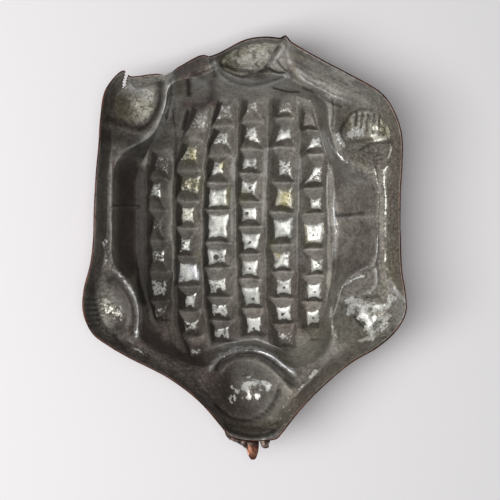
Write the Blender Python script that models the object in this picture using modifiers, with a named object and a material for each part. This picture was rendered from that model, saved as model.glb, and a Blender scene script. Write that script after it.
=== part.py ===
"""Old hand-raised copper mould in the shape of a tortoise, lying on its back with the hollow up.

One sheet of copper, tinned inside, is raised into a wall, a ledge, four feet, a head, a tail and a
deep shell whose six columns of square studs are chased into it. A strap eye and two lumps of
solder are fixed under the rim at the head end. Metres, +Z up, the table at z = 0, the eye at -Y.
"""
import math

import bmesh
import bpy
import numpy as np

MM = 0.001

# Sheet, wall and ledge, in millimetres. Depths are measured down from the rim.
SHEET = 0.9
GAP = 0.3
WALL_DEPTH = 10.0
WALL_DRAFT = 7.0
LEDGE_DEPTH = 10.6
LEDGE_WIDTH = 4.3
STEEPEST_WALL = 2.4
CREST_BEAD = 1.0
CREST_BLEND = 4.0

# Rim, clockwise seen from above, from the foot at the lower left. The upper left corner is a bent
# flap with a tear beside it, and the top has a small tab bent outwards.
RIM = [
    (-64.5, -59.5), (-75.5, -53.0), (-84.5, -46.0), (-89.3, -35.0), (-89.0, -23.0),
    (-85.5, -9.0), (-84.0, 4.0), (-83.5, 22.0), (-82.5, 40.0), (-81.0, 56.0),
    (-80.0, 70.0), (-77.5, 85.0), (-69.0, 95.5), (-64.5, 93.0), (-54.0, 94.5),
    (-43.0, 97.0), (-32.0, 101.5), (-25.0, 104.8), (-12.5, 107.5), (-1.5, 113.5),
    (9.5, 115.5), (18.5, 115.0), (21.0, 116.5), (25.0, 112.5), (40.5, 104.0),
    (57.5, 95.5), (74.5, 87.0), (83.0, 77.0), (87.0, 63.0), (86.5, 48.0),
    (85.5, 30.0), (85.5, 8.0), (85.5, -11.0), (89.0, -26.0), (89.0, -37.0),
    (83.5, -48.0), (72.5, -55.5), (57.5, -63.5), (40.5, -77.5), (29.0, -89.0),
    (18.5, -102.0), (14.5, -105.2), (2.0, -105.8), (-9.5, -104.0), (-15.0, -97.0),
    (-26.5, -83.5), (-43.0, -71.0),
]

# Crest, the ridge all round the shell: arcs round the feet, tail and head, straight ledges between.
# Each stretch has its number of sectors, its first and last point of the rim, its depth and its
# shape: (centre, radii, first angle, last angle) for an arc, (first point, last point) for a line.
CREST = [
    (12, 0, 5, 11.0, ((-83.0, -38.0), (24.0, 30.0), -22.0, 66.0)),
    (14, 5, 9, 10.5, ((-74.0, -6.0), (-72.5, 50.0))),
    (6, 9, 12, 11.0, ((-70.0, 81.5), (26.5, 27.0), -80.0, -25.0)),
    (5, 12, 15, 11.0, ((-70.0, 81.5), (26.5, 27.0), -25.0, 20.0)),
    (7, 15, 17, 8.0, ((-41.0, 91.5), (-21.0, 95.0))),
    (9, 17, 22, 6.5, ((1.0, 107.0), (17.0, 11.5), 205.0, 310.0)),
    (7, 22, 25, 10.0, ((16.0, 98.0), (44.0, 85.0))),
    (13, 25, 30, 14.0, ((77.5, 71.0), (28.5, 29.0), 160.0, 250.0)),
    (11, 30, 32, 10.5, ((74.5, 38.0), (75.0, -6.0))),
    (13, 32, 37, 11.0, ((73.5, -39.5), (24.5, 24.0), 100.0, 205.0)),
    (5, 37, 39, 10.0, ((49.0, -55.0), (32.0, -69.5))),
    (15, 39, 45, 13.0, ((3.5, -82.0), (25.0, 25.0), 30.0, 142.0)),
    (7, 45, 47, 10.0, ((-24.0, -68.5), (-57.0, -51.5))),
]

# Lobes, the hollows of the feet, the tail and the head: centre, radii and depth.
LOBES = [
    ((-76.0, -35.0), (15.0, 19.0), 20.0),
    ((-61.0, 77.0), (15.0, 17.0), 20.0),
    ((1.0, 105.5), (14.5, 9.5), 13.0),
    ((68.0, 67.0), (17.0, 18.0), 21.0),
    ((69.0, -39.0), (18.0, 16.0), 20.0),
    ((3.5, -82.0), (19.5, 21.0), 24.0),
]

# Shell: the ridges between the studs are level in the middle and climb to the ends and sides.
RIDGE_DEPTH = 44.0
SHELL_MIDDLE_Y = 12.0
LEVEL_LENGTH = 24.0
LEVEL_WIDTH = 19.0
END_CLIMB = 13.0
END_REACH = 52.0
SIDE_CLIMB = 5.0
SIDE_REACH = 35.0
EDGE_HALF_WIDTH = 54.0
EDGE_STRAIGHT = 30.0
EDGE_NARROWING = 14.0
EDGE_REACH = 44.0

# Studs: square pits with flat floors, struck square to the dome. The long ridges between the
# columns stand higher than the saddles between the studs of one column. A column is divided by
# its saddles, listed from the near end.
COLUMNS = 6
COLUMN_PITCH = 18.3
STUD_DEPTH = 6.4
SADDLE_DROP = 1.6
STUD_LEAN = 0.8
STUD_WALL = 3.8
WIDEST_WALL = 0.36
HALF_RIDGE = 0.9
EDGE_RIDGE = 2.6
BARE_LINES = (0.1, 0.37, 0.63, 0.9)
ROW_RIDGES = [
    (-52.0, -43.0, -29.7, -14.2, 4.5, 23.2, 40.7, 57.0, 71.0, 86.0),
    (-62.0, -51.5, -38.2, -22.6, -5.9, 10.9, 28.3, 45.3, 63.5, 83.0),
    (-54.0, -42.5, -29.0, -13.7, 3.1, 20.8, 37.3, 53.8, 70.0, 85.5),
    (-51.5, -37.0, -20.4, -4.5, 11.3, 27.0, 42.0, 56.8, 72.0, 86.0),
    (-58.5, -45.2, -30.0, -14.3, 2.5, 20.6, 38.0, 55.5, 73.0, 87.5),
    (-52.0, -45.5, -31.5, -16.6, -0.4, 17.4, 34.5, 52.0, 69.5, 85.0),
]
BARE_CELLS = {(0, 0), (0, 7), (0, 8), (5, 0), (5, 8)}
ROWS = len(ROW_RIDGES[0]) - 1
LINES_X = 4 * COLUMNS + 1
LINES_Y = 4 * ROWS + 1

# Side plates between the ledge and the studs: a groove at their foot and a rib across each.
PLATE_FROM_X = 40.0
PLATE_FULL_X = 48.0
GROOVE_DEPTH = 1.5
RIB_HEIGHT = 1.2
RIB_HALF_WIDTH = 2.2
LEFT_RIB_Y = 22.0
RIGHT_RIB_Y = 17.5

# Rings of the loft between rim, crest and studs: shares of the wall, of the way from the wall's
# foot to the crest, and of the slope from the crest to the studs.
WALL_RINGS = (0.0, 0.22, 0.6, 1.0)
FLOOR_RINGS = (0.2, 0.4, 0.6, 0.8, 1.0)
SLOPE_RINGS = (0.1, 0.3, 0.5, 0.7, 0.87)
WALL_CURVE = 1.25
LOBE_CURVE = 0.7
SLOPE_CURVE = 1.35

# Tear through the wall beside the bent flap, a wedge that closes downwards.
TEAR_X = -66.4
TEAR_Y = (85.0, 97.0)
TEAR_WIDTH = 2.4
TEAR_DEPTH = 9.0

# Strap eye to hang the mould by, outside the wall at the head end. Its two legs spread into feet
# where they meet the wall, the upper one further to the left than to the right.
EYE_X = 3.3
EYE_TIP_Y = -117.3
EYE_RADIUS = 3.7
STRAP_THICKNESS = 1.4
STRAP_DEPTH = 2.3
NECK_HALF_WIDTH = 3.3
TIP_HALF_WIDTH = 2.2
UPPER_LEG_END_Y = -104.7
LOWER_LEG_END_Y = -102.1
UPPER_SPREAD = (5.0, 2.4)
LOWER_SPREAD = (1.6, 1.6)
SPREAD_LENGTH = 5.0
STRAP_EDGE = 0.25

# Solder: a smear under the rim on the left of the eye and a drip on its right, each with its
# centre, depth and radii.
SOLDER = {
    "loop_solder_left": ((-8.9, -105.2), 2.9, (4.2, 2.0, 2.4)),
    "loop_solder_right": ((10.9, -107.2), 3.2, (2.1, 3.1, 2.3)),
}
SOLDER_RIPPLE = 0.12

FLOOR_DEPTH = RIDGE_DEPTH + STUD_DEPTH
RIM_HEIGHT = FLOOR_DEPTH + SHEET


def height(depth):
    """World height in metres of a depth below the rim in millimetres."""
    return (RIM_HEIGHT - depth) * MM


def smooth_step(low, high, value):
    """Goes from 0 at low to 1 at high with level ends."""
    t = np.clip((value - low) / (high - low), 0.0, 1.0)
    return t * t * (3.0 - 2.0 * t)


def rim_point(station):
    """Point of the rim; whole stations are the listed points and a spline runs through them."""
    index = math.floor(station)
    t = station - index
    a, b, c, d = (np.array(RIM[(index + k) % len(RIM)]) for k in (-1, 0, 1, 2))
    return 0.5 * (2.0 * b + (c - a) * t + (2.0 * a - 5.0 * b + 4.0 * c - d) * t ** 2
                  + (3.0 * b - a - 3.0 * c + d) * t ** 3)


def even_rim(first, last, sectors):
    """Points that divide the rim from one station to another into equal lengths."""
    stations = np.linspace(first, last, 40 * (last - first) + 1)
    points = np.array([rim_point(s) for s in stations])
    run = np.concatenate(([0.0], np.cumsum(np.linalg.norm(np.diff(points, axis=0), axis=1))))
    wanted = np.linspace(0.0, run[-1], sectors, endpoint=False)
    return [rim_point(s) for s in np.interp(wanted, run, stations)]


def crest_stretch(sectors, shape):
    """Points along one arc or straight stretch of the crest."""
    t = np.arange(sectors)[:, None] / sectors
    if len(shape) == 2:
        start, end = np.array(shape[0]), np.array(shape[1])
        return start + (end - start) * t
    centre, radii, first, last = shape
    angle = np.radians(first + (last - first) * t)
    return np.array(centre) + np.array(radii) * np.hstack((np.cos(angle), np.sin(angle)))


def rounded(values, passes):
    """Evens out the steps where two stretches of a closed loop meet."""
    for _ in range(passes):
        values = 0.5 * values + 0.25 * (np.roll(values, 1, axis=0) + np.roll(values, -1, axis=0))
    return values


def rim_and_crest():
    """Matched points of the rim and of the crest, and the crest's depth, sector by sector."""
    rim = []
    crest = []
    depth = []
    for sectors, first, last, level, shape in CREST:
        rim += even_rim(first, last, sectors)
        crest += list(crest_stretch(sectors, shape))
        depth += [level] * sectors
    return np.array(rim), rounded(np.array(crest), 2), rounded(np.array(depth), 3)


def border_depth(x, y, from_rim):
    """Depth of the wall, the ledge and the lobes outside the crest."""
    wall = WALL_DEPTH * (1.0 - (1.0 - np.clip(from_rim / WALL_DRAFT, 0.0, 1.0)) ** WALL_CURVE)
    ledge = smooth_step(WALL_DRAFT, WALL_DRAFT + LEDGE_WIDTH, from_rim)
    depth = wall + (LEDGE_DEPTH - WALL_DEPTH) * ledge
    for (cx, cy), (rx, ry), bottom in LOBES:
        room = np.clip(1.0 - ((x - cx) / rx) ** 2 - ((y - cy) / ry) ** 2, 0.0, 1.0)
        hollow = LEDGE_DEPTH + (bottom - LEDGE_DEPTH) * room ** LOBE_CURVE
        depth = np.where(room > 0.0, np.maximum(depth, hollow), depth)
    return np.minimum(depth, STEEPEST_WALL * from_rim)


def ridge_depth(x, y):
    """Depth of the tops of the ridges between the studs."""
    along = np.clip(np.abs(y - SHELL_MIDDLE_Y) - LEVEL_LENGTH, 0.0, None) / END_REACH
    across = np.clip(np.abs(x) - LEVEL_WIDTH, 0.0, None) / SIDE_REACH
    return RIDGE_DEPTH - END_CLIMB * along ** 2 - SIDE_CLIMB * across ** 2


def edge_half_width(y):
    """Half width of the studded shell, which narrows to both ends."""
    beyond = max(abs(y - SHELL_MIDDLE_Y) - EDGE_STRAIGHT, 0.0) / EDGE_REACH
    return EDGE_HALF_WIDTH - EDGE_NARROWING * beyond ** 1.2


def column_side(ridge, y):
    """Where the ridge before a column runs; the first and the last follow the edge of the shell."""
    if ridge == 0:
        return -edge_half_width(y)
    if ridge == COLUMNS:
        return edge_half_width(y)
    return (ridge - COLUMNS / 2) * COLUMN_PITCH


def cell_lines(low, high, low_ridge, high_ridge, bare):
    """The four lines across one stud: ridge, floor, floor, ridge. A bare cell has even lines."""
    if bare:
        return [low + (high - low) * share for share in BARE_LINES]
    low += low_ridge
    high -= high_ridge
    wall = min(STUD_WALL, WIDEST_WALL * (high - low))
    return [low, low + wall, high - wall, high]


def stud_point(column, row, across, along):
    """One of the sixteen points of a stud: position in plan and depth."""
    bare = (column, row) in BARE_CELLS
    low, high = ROW_RIDGES[column][row:row + 2]
    y = cell_lines(low, high, HALF_RIDGE, HALF_RIDGE, bare)[along]
    left_ridge = EDGE_RIDGE if column == 0 else HALF_RIDGE
    right_ridge = EDGE_RIDGE if column == COLUMNS - 1 else HALF_RIDGE
    left, right = column_side(column, y), column_side(column + 1, y)
    x = cell_lines(left, right, left_ridge, right_ridge, bare)[across]
    depth = ridge_depth(x, y)
    if across in (1, 2) and not bare:
        if along in (1, 2):
            middle_x, middle_y = 0.5 * (left + right), 0.5 * (low + high)
            depth = 0.5 * (depth + ridge_depth(middle_x, middle_y)) + STUD_DEPTH
            lean = STUD_LEAN * STUD_DEPTH
            x -= lean * (ridge_depth(middle_x + 0.5, middle_y) - ridge_depth(middle_x - 0.5, middle_y))
            y -= lean * (ridge_depth(middle_x, middle_y + 0.5) - ridge_depth(middle_x, middle_y - 0.5))
        else:
            depth += SADDLE_DROP
    return x, y, depth


def field_point(i, j):
    """Point of the studded field on line i from the left and line j from the near end."""
    column = min(max((i - 1) // 4, 0), COLUMNS - 1)
    row = min(max((j - 1) // 4, 0), ROWS - 1)
    across = min(max(i - 1 - 4 * column, 0), 3)
    along = min(max(j - 1 - 4 * row, 0), 3)
    x, y, depth = stud_point(column, row, across, along)
    if j == 0:
        y = ROW_RIDGES[column][0]
    if j == LINES_Y:
        y = ROW_RIDGES[column][ROWS]
    if i == 0:
        x = column_side(0, y)
    if i == LINES_X:
        x = column_side(COLUMNS, y)
    if i in (0, LINES_X) or j in (0, LINES_Y):
        depth = ridge_depth(x, y)
    return x, y, depth


def loft_rings(rim, crest, crest_depth, edge, edge_depth):
    """Rings of points from the rim over the wall, the ledge and the crest down to the studs."""
    rings = []
    span = np.linalg.norm(crest - rim, axis=1)
    wall = np.minimum(WALL_DRAFT / span, 0.7)
    shares = [wall * share for share in WALL_RINGS]
    shares += [wall + (1.0 - wall) * share for share in FLOOR_RINGS]
    for share in shares:
        plan = rim + (crest - rim) * share[:, None]
        depth = border_depth(plan[:, 0], plan[:, 1], share * span)
        depth += (crest_depth - depth) * smooth_step(1.0 - CREST_BLEND / span, 1.0, share)
        rings.append((plan, depth))
    rings[-1] = (crest, crest_depth - CREST_BEAD)
    side = smooth_step(PLATE_FROM_X, PLATE_FULL_X, np.abs(edge[:, 0]))
    for share in SLOPE_RINGS:
        plan = crest + (edge - crest) * share
        x, y = plan[:, 0], plan[:, 1]
        depth = crest_depth + (edge_depth - crest_depth) * (1.0 - (1.0 - share) ** SLOPE_CURVE)
        depth += side * GROOVE_DEPTH * smooth_step(0.6, SLOPE_RINGS[-1], share)
        from_rib = y - np.where(x < 0.0, LEFT_RIB_Y, RIGHT_RIB_Y)
        depth -= RIB_HEIGHT * np.exp(-(from_rib / RIB_HALF_WIDTH) ** 2)
        rings.append((plan, depth))
    return rings


def join_rings(bm, outer, inner):
    """Faces between two rings of equal count, facing up."""
    count = len(outer)
    for k in range(count):
        n = (k + 1) % count
        bm.faces.new((outer[k], inner[k], inner[n], outer[n]))


def raised_sheet():
    """The inner face of the mould as one open surface: a grid of studs and a loft out to the rim."""
    bm = bmesh.new()
    bmesh.ops.create_grid(bm, x_segments=LINES_X, y_segments=LINES_Y, size=1.0)
    field = {}
    for vert in bm.verts:
        i = round((vert.co.x + 1.0) * 0.5 * LINES_X)
        j = round((vert.co.y + 1.0) * 0.5 * LINES_Y)
        x, y, depth = field_point(i, j)
        vert.co = (x * MM, y * MM, height(depth))
        field[i, j] = vert

    around = [(0, j) for j in range(LINES_Y)]
    around += [(i, LINES_Y) for i in range(LINES_X)]
    around += [(LINES_X, j) for j in range(LINES_Y, 0, -1)]
    around += [(i, 0) for i in range(LINES_X, 0, -1)]
    edge = np.array([field_point(i, j) for i, j in around])

    rim, crest, crest_depth = rim_and_crest()
    outer = None
    for plan, depth in loft_rings(rim, crest, crest_depth, edge[:, :2], edge[:, 2]):
        ring = [bm.verts.new((x * MM, y * MM, height(d))) for (x, y), d in zip(plan, depth)]
        if outer:
            join_rings(bm, outer, ring)
        outer = ring
    join_rings(bm, outer, [field[ij] for ij in around])
    mesh = bpy.data.meshes.new("raised_sheet")
    bm.to_mesh(mesh)
    bm.free()
    return mesh


def strap_line():
    """Side view of the strap eye from the upper foot to the lower foot: (y, depth) points."""
    turn_y = EYE_TIP_Y + EYE_RADIUS + 0.5 * STRAP_THICKNESS
    middle = STRAP_DEPTH + EYE_RADIUS
    line = [(y, STRAP_DEPTH) for y in np.linspace(UPPER_LEG_END_Y, turn_y, 6)]
    for angle in np.radians(np.linspace(90.0, 270.0, 9))[1:-1]:
        line.append((turn_y + EYE_RADIUS * math.cos(angle), middle - EYE_RADIUS * math.sin(angle)))
    line += [(y, middle + EYE_RADIUS) for y in np.linspace(turn_y, LOWER_LEG_END_Y, 7)]
    return line


def strap_half_widths(y, leg_end, spread):
    """Reach of the strap to the left and to the right of its middle line."""
    taper = smooth_step(leg_end - SPREAD_LENGTH, EYE_TIP_Y, y)
    half = NECK_HALF_WIDTH + (TIP_HALF_WIDTH - NECK_HALF_WIDTH) * taper
    foot = max(0.0, 1.0 - (leg_end - y) / SPREAD_LENGTH) ** 1.6
    return half + spread[0] * foot, half + spread[1] * foot


def strap_surface():
    """Middle surface of the strap eye, a grid bent along its side view."""
    line = strap_line()
    across = 4
    bm = bmesh.new()
    bmesh.ops.create_grid(bm, x_segments=across, y_segments=len(line) - 1, size=1.0)
    for vert in bm.verts:
        index = round((vert.co.y + 1.0) * 0.5 * (len(line) - 1))
        y, depth = line[index]
        if depth < STRAP_DEPTH + EYE_RADIUS:
            left, right = strap_half_widths(y, UPPER_LEG_END_Y, UPPER_SPREAD)
        else:
            left, right = strap_half_widths(y, LOWER_LEG_END_Y, LOWER_SPREAD)
        x = EYE_X + vert.co.x * (right if vert.co.x > 0.0 else left)
        vert.co = (x * MM, y * MM, height(depth))
    mesh = bpy.data.meshes.new("strap")
    bm.to_mesh(mesh)
    bm.free()
    return mesh


def solder_lump(centre, depth, radii):
    """A lump of solder: a ball pulled to its radii, with a slow ripple over it."""
    bm = bmesh.new()
    bmesh.ops.create_uvsphere(bm, u_segments=18, v_segments=11, radius=1.0)
    for vert in bm.verts:
        x, y, z = vert.co
        swell = 1.0 + SOLDER_RIPPLE * math.sin(3.1 * x + 1.7) * math.cos(2.7 * z + 3.9 * y)
        vert.co = (radii[0] * x * swell * MM, radii[1] * y * swell * MM, radii[2] * z * swell * MM)
    mesh = bpy.data.meshes.new("solder")
    bm.to_mesh(mesh)
    bm.free()
    return mesh, (centre[0] * MM, centre[1] * MM, height(depth))


def tear_wedge():
    """Cutter for the tear: a long box pinched to a line at its lower edge."""
    bm = bmesh.new()
    bmesh.ops.create_cube(bm, size=2.0)
    middle_y, half_length = 0.5 * sum(TEAR_Y), 0.5 * (TEAR_Y[1] - TEAR_Y[0])
    for vert in bm.verts:
        above = vert.co.z > 0.0
        x = TEAR_X + (0.5 * TEAR_WIDTH * vert.co.x if above else 0.0)
        y = middle_y + half_length * vert.co.y
        vert.co = (x * MM, y * MM, height(-1.0 if above else TEAR_DEPTH))
    bmesh.ops.remove_doubles(bm, verts=bm.verts, dist=0.00001)
    mesh = bpy.data.meshes.new("tear_wedge")
    bm.to_mesh(mesh)
    bm.free()
    return mesh


def finish(name, colour, metallic, roughness):
    """Plain material of one metal surface."""
    material = bpy.data.materials.new(name)
    material.use_nodes = True
    shader = material.node_tree.nodes["Principled BSDF"]
    shader.inputs["Base Color"].default_value = (*colour, 1.0)
    shader.inputs["Metallic"].default_value = metallic
    shader.inputs["Roughness"].default_value = roughness
    return material


def place(name, mesh, collection, parent=None, materials=()):
    """Puts a mesh into the model as an object of its own."""
    thing = bpy.data.objects.new(name, mesh)
    collection.objects.link(thing)
    thing.parent = parent
    for material in materials:
        mesh.materials.append(material)
    return thing


def as_cutter(thing):
    """Marks an object as a tool that only cuts."""
    thing.hide_render = True
    thing.display_type = "WIRE"
    return thing


def thicken(thing, thickness, offset):
    """Solidify: gives an open surface its thickness, upwards for +1 and downwards for -1."""
    solid = thing.modifiers.new("thickness", "SOLIDIFY")
    solid.thickness = thickness * MM
    solid.offset = offset
    solid.use_even_offset = True
    return solid


def cut(thing, cutter):
    """Takes a cutter's volume out of an object."""
    boolean = thing.modifiers.new("cut_by_" + cutter.name, "BOOLEAN")
    boolean.operation = "DIFFERENCE"
    boolean.solver = "EXACT"
    boolean.object = cutter


def main():
    for leftover in list(bpy.data.objects):
        bpy.data.objects.remove(leftover, do_unlink=True)
    model = bpy.data.collections.new("tortoise_mould")
    cutters = bpy.data.collections.new("cutters")
    for collection in (model, cutters):
        bpy.context.scene.collection.children.link(collection)
    frame = bpy.data.objects.new("mould_frame", None)
    model.objects.link(frame)

    tin = finish("tarnished_tin", (0.13, 0.125, 0.115), 0.8, 0.5)
    copper = finish("aged_copper", (0.42, 0.19, 0.11), 1.0, 0.42)
    bright_copper = finish("rubbed_copper", (0.55, 0.24, 0.13), 1.0, 0.35)
    lead = finish("dull_solder", (0.10, 0.08, 0.07), 0.7, 0.6)

    body = place("mould_body", raised_sheet(), model, frame, (tin, copper))
    sheet = thicken(body, SHEET, -1.0)
    sheet.material_offset = 1
    sheet.material_offset_rim = 1
    cut(body, as_cutter(place("tear_wedge", tear_wedge(), cutters)))

    # The wall grown by the gap on both faces, to trim what is soldered onto it.
    wall_clearance = as_cutter(place("wall_clearance", raised_sheet(), cutters))
    grown = SHEET + 2.0 * GAP
    thicken(wall_clearance, grown, -SHEET / grown)

    strap = place("hanging_loop", strap_surface(), model, frame, (bright_copper,))
    thicken(strap, STRAP_THICKNESS, 0.0)
    softened = strap.modifiers.new("softened_edges", "BEVEL")
    softened.width = STRAP_EDGE * MM
    softened.segments = 1
    softened.limit_method = "ANGLE"
    softened.angle_limit = math.radians(50.0)
    cut(strap, wall_clearance)

    strap_clearance = as_cutter(place("strap_clearance", strap_surface(), cutters))
    thicken(strap_clearance, STRAP_THICKNESS + 2.0 * GAP, 0.0)
    for name, (centre, depth, radii) in SOLDER.items():
        mesh, location = solder_lump(centre, depth, radii)
        lump = place(name, mesh, model, frame, (lead,))
        lump.location = location
        cut(lump, wall_clearance)
        cut(lump, strap_clearance)

    for thing in model.objects:
        if thing.type == "MESH":
            thing.data.shade_smooth()
            thing.data.set_sharp_from_angle(angle=math.radians(40.0))


main()
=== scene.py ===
# %% [markdown]
# # An old copper mould, photographed from above
#
# The photo shows a cook's mould in the shape of a tortoise. It lies on its back on a white table,
# so the camera looks down into the hollow. Somebody raised it from one sheet of copper, tinned the
# inside and soldered a small eye under the rim. The tin has gone grey and brown with age.
#
# This lesson rebuilds it with formulas that follow the way the smith worked: first the outline,
# then the wall, the ledge and the deep shell, then the studs, and last the small marks of wear.

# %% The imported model
import math

import bpy
import numpy as np
from mathutils import Matrix, Vector


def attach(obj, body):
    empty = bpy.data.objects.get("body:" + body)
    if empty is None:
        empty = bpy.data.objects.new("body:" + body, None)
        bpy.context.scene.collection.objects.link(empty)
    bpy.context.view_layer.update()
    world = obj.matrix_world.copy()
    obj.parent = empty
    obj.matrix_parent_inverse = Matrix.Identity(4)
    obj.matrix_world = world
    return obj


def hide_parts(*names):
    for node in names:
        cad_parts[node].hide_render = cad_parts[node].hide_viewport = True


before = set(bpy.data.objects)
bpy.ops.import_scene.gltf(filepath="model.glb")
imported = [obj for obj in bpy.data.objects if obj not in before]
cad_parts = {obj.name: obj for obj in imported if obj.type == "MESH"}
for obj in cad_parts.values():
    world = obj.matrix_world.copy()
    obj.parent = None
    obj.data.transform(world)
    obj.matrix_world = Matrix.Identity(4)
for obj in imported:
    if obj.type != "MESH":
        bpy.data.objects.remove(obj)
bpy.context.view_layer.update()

MM = 0.001

# %% [markdown]
# ## Measures
#
# All shapes are worked out in millimetres, with x to the right, y towards the tail and depths
# counted down from the rim. That is how a smith would measure a bowl: with a ruler laid across it.
# Only the last step turns them into Blender's metres. Each later cell starts with the measures that
# it needs.

# %% Measures
SHEET = 0.9
RIM_HEIGHT = 51.3

# How many faces the grid over the studs has along x and y. The rings round it have as many
# points as its border.
FINENESS = 6
FIELD_X, FIELD_Y = 25 * FINENESS, 37 * FINENESS
SECTORS = 2 * (FIELD_X + FIELD_Y)


def extent(values):
    """The smallest and the largest value, to print."""
    return round(float(values.min()), 2), "to", round(float(values.max()), 2)


print("sectors", SECTORS, "field", FIELD_X, "by", FIELD_Y)

# %% [markdown]
# ## The camera as a measuring tool
#
# The photo was taken from almost straight above: the picture shows a little more of the right
# walls than of the left ones, so the camera leans eight degrees to the left. Once the camera is
# known, every point of the mould can be projected into the picture. That makes it possible to give
# the studs, creases and scratches in picture coordinates, just as one sees them, and to ask each
# point of the sheet how near it appears to them.

# %% Camera in the picture
CAMERA_LEAN = math.radians(8.0)
CAMERA_DISTANCE = 900.0
MM_PER_PIXEL = 0.55
PICTURE = 500
TARGET = np.array([1.35, -1.24, 0.0])
CAM_RIGHT = np.array([math.cos(CAMERA_LEAN), 0.0, math.sin(CAMERA_LEAN)])
CAM_UP = np.array([0.0, 1.0, 0.0])
CAM_FORWARD = np.array([math.sin(CAMERA_LEAN), 0.0, -math.cos(CAMERA_LEAN)])
CAM_EYE = TARGET - CAMERA_DISTANCE * CAM_FORWARD


def in_picture(x, y, depth):
    """Where points of the mould appear in the picture, in pixels."""
    points = np.stack((x, y, -depth), axis=-1) - CAM_EYE
    away = points @ CAM_FORWARD
    size = CAMERA_DISTANCE / MM_PER_PIXEL / away
    return PICTURE / 2 + (points @ CAM_RIGHT) * size, PICTURE / 2 - (points @ CAM_UP) * size


print("the camera aims at pixel", [round(float(v), 1) for v in in_picture(*TARGET)])

# %% [markdown]
# ## Outline and crest
#
# A spline through the points of the rim gives the outline. The crest is the ridge that runs round
# the shell: arcs round the feet, the tail and the head, with straight ledges between them. Both
# lines are cut into the same number of steps, so that each step of the rim has a partner on the
# crest and the wall can be stretched between them.


# %% Outline and crest
RIM = [
    (-64.5, -59.5), (-75.5, -53.0), (-84.5, -46.0), (-89.3, -35.0), (-89.0, -23.0),
    (-85.5, -9.0), (-84.0, 4.0), (-83.5, 22.0), (-82.5, 40.0), (-81.0, 56.0),
    (-80.0, 70.0), (-77.5, 85.0), (-69.0, 95.5), (-64.5, 92.6), (-54.0, 93.8),
    (-42.5, 95.8), (-26.5, 104.4), (-21.0, 104.3), (-14.6, 106.6), (-1.5, 113.5),
    (9.5, 115.5), (18.5, 115.0), (21.0, 116.5), (25.0, 112.5), (40.5, 104.0),
    (57.5, 95.5), (74.0, 86.2), (81.8, 76.2), (86.2, 63.0), (86.5, 48.0),
    (85.5, 30.0), (85.5, 8.0), (86.2, -12.0), (88.4, -26.0), (88.4, -36.5),
    (82.4, -46.6), (72.2, -55.2), (57.5, -63.5), (40.5, -77.5), (29.0, -89.0),
    (18.5, -102.0), (14.5, -105.2), (2.0, -105.8), (-9.0, -103.4), (-14.4, -97.2),
    (-26.5, -83.5), (-43.0, -71.0),
]
# Each stretch: share of the sectors, first and last point of the rim beside it, depth in mm, and
# its shape. A shape is a straight line between two points, or an arc with its centre, its two radii
# and its first and last angle in degrees.
CREST = [
    (12, 0, 5, 11.0, ((-83.0, -38.0), (24.0, 30.0), -22.0, 66.0)),
    (14, 5, 9, 10.5, ((-74.0, -6.0), (-72.5, 50.0))),
    (6, 9, 12, 11.0, ((-70.0, 81.5), (26.5, 27.0), -80.0, -25.0)),
    (5, 12, 15, 11.0, ((-70.0, 81.5), (26.5, 27.0), -25.0, 20.0)),
    (7, 15, 17, 8.0, ((-41.0, 91.5), (-21.0, 95.0))),
    (9, 17, 22, 6.5, ((1.0, 107.0), (17.0, 11.5), 205.0, 310.0)),
    (7, 22, 25, 10.0, ((16.0, 98.0), (44.0, 85.0))),
    (13, 25, 30, 14.0, ((81.0, 70.5), (34.0, 34.0), 160.0, 255.0)),
    (11, 30, 32, 10.5, ((74.5, 38.0), (75.0, -6.0))),
    (13, 32, 37, 11.0, ((73.5, -39.5), (25.2, 28.0), 100.0, 205.0)),
    (5, 37, 39, 10.0, ((49.0, -55.0), (32.0, -69.5))),
    (15, 39, 45, 13.0, ((3.5, -82.0), (25.0, 25.0), 30.0, 142.0)),
    (7, 45, 47, 10.0, ((-24.0, -68.5), (-57.0, -51.5))),
]
SAMPLES_PER_STEP = 40
CREST_ROUNDING, LEVEL_ROUNDING = 40, 120


def smooth_step(low, high, value):
    """Runs from 0 at low to 1 at high, and leaves and arrives gently."""
    t = np.clip((value - low) / (high - low), 0.0, 1.0)
    return t * t * (3.0 - 2.0 * t)


def rim_point(station):
    """A point on a smooth curve through the points of the rim."""
    index = math.floor(station)
    t = station - index
    a, b, c, d = (np.array(RIM[(index + k) % len(RIM)]) for k in (-1, 0, 1, 2))
    return 0.5 * (2.0 * b + (c - a) * t + (2.0 * a - 5.0 * b + 4.0 * c - d) * t ** 2
                  + (3.0 * b - a - 3.0 * c + d) * t ** 3)


def even_rim(first, last, steps):
    """Points at even distances along a stretch of the rim."""
    stations = np.linspace(first, last, SAMPLES_PER_STEP * (last - first) + 1)
    points = np.array([rim_point(s) for s in stations])
    run = np.concatenate(([0.0], np.cumsum(np.linalg.norm(np.diff(points, axis=0), axis=1))))
    wanted = np.linspace(0.0, run[-1], steps, endpoint=False)
    return [rim_point(s) for s in np.interp(wanted, run, stations)]


def crest_stretch(steps, shape):
    """Points along a straight or an arched stretch of the crest."""
    t = np.arange(steps)[:, None] / steps
    if len(shape) == 2:
        start, end = np.array(shape[0]), np.array(shape[1])
        return start + (end - start) * t
    centre, radii, first, last = shape
    angle = np.radians(first + (last - first) * t)
    return np.array(centre) + np.array(radii) * np.hstack((np.cos(angle), np.sin(angle)))


def rounded(values, passes):
    """Averages each value with its neighbours in a closed ring."""
    for _ in range(passes):
        values = 0.5 * values + 0.25 * (np.roll(values, 1, axis=0) + np.roll(values, -1, axis=0))
    return values


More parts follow.
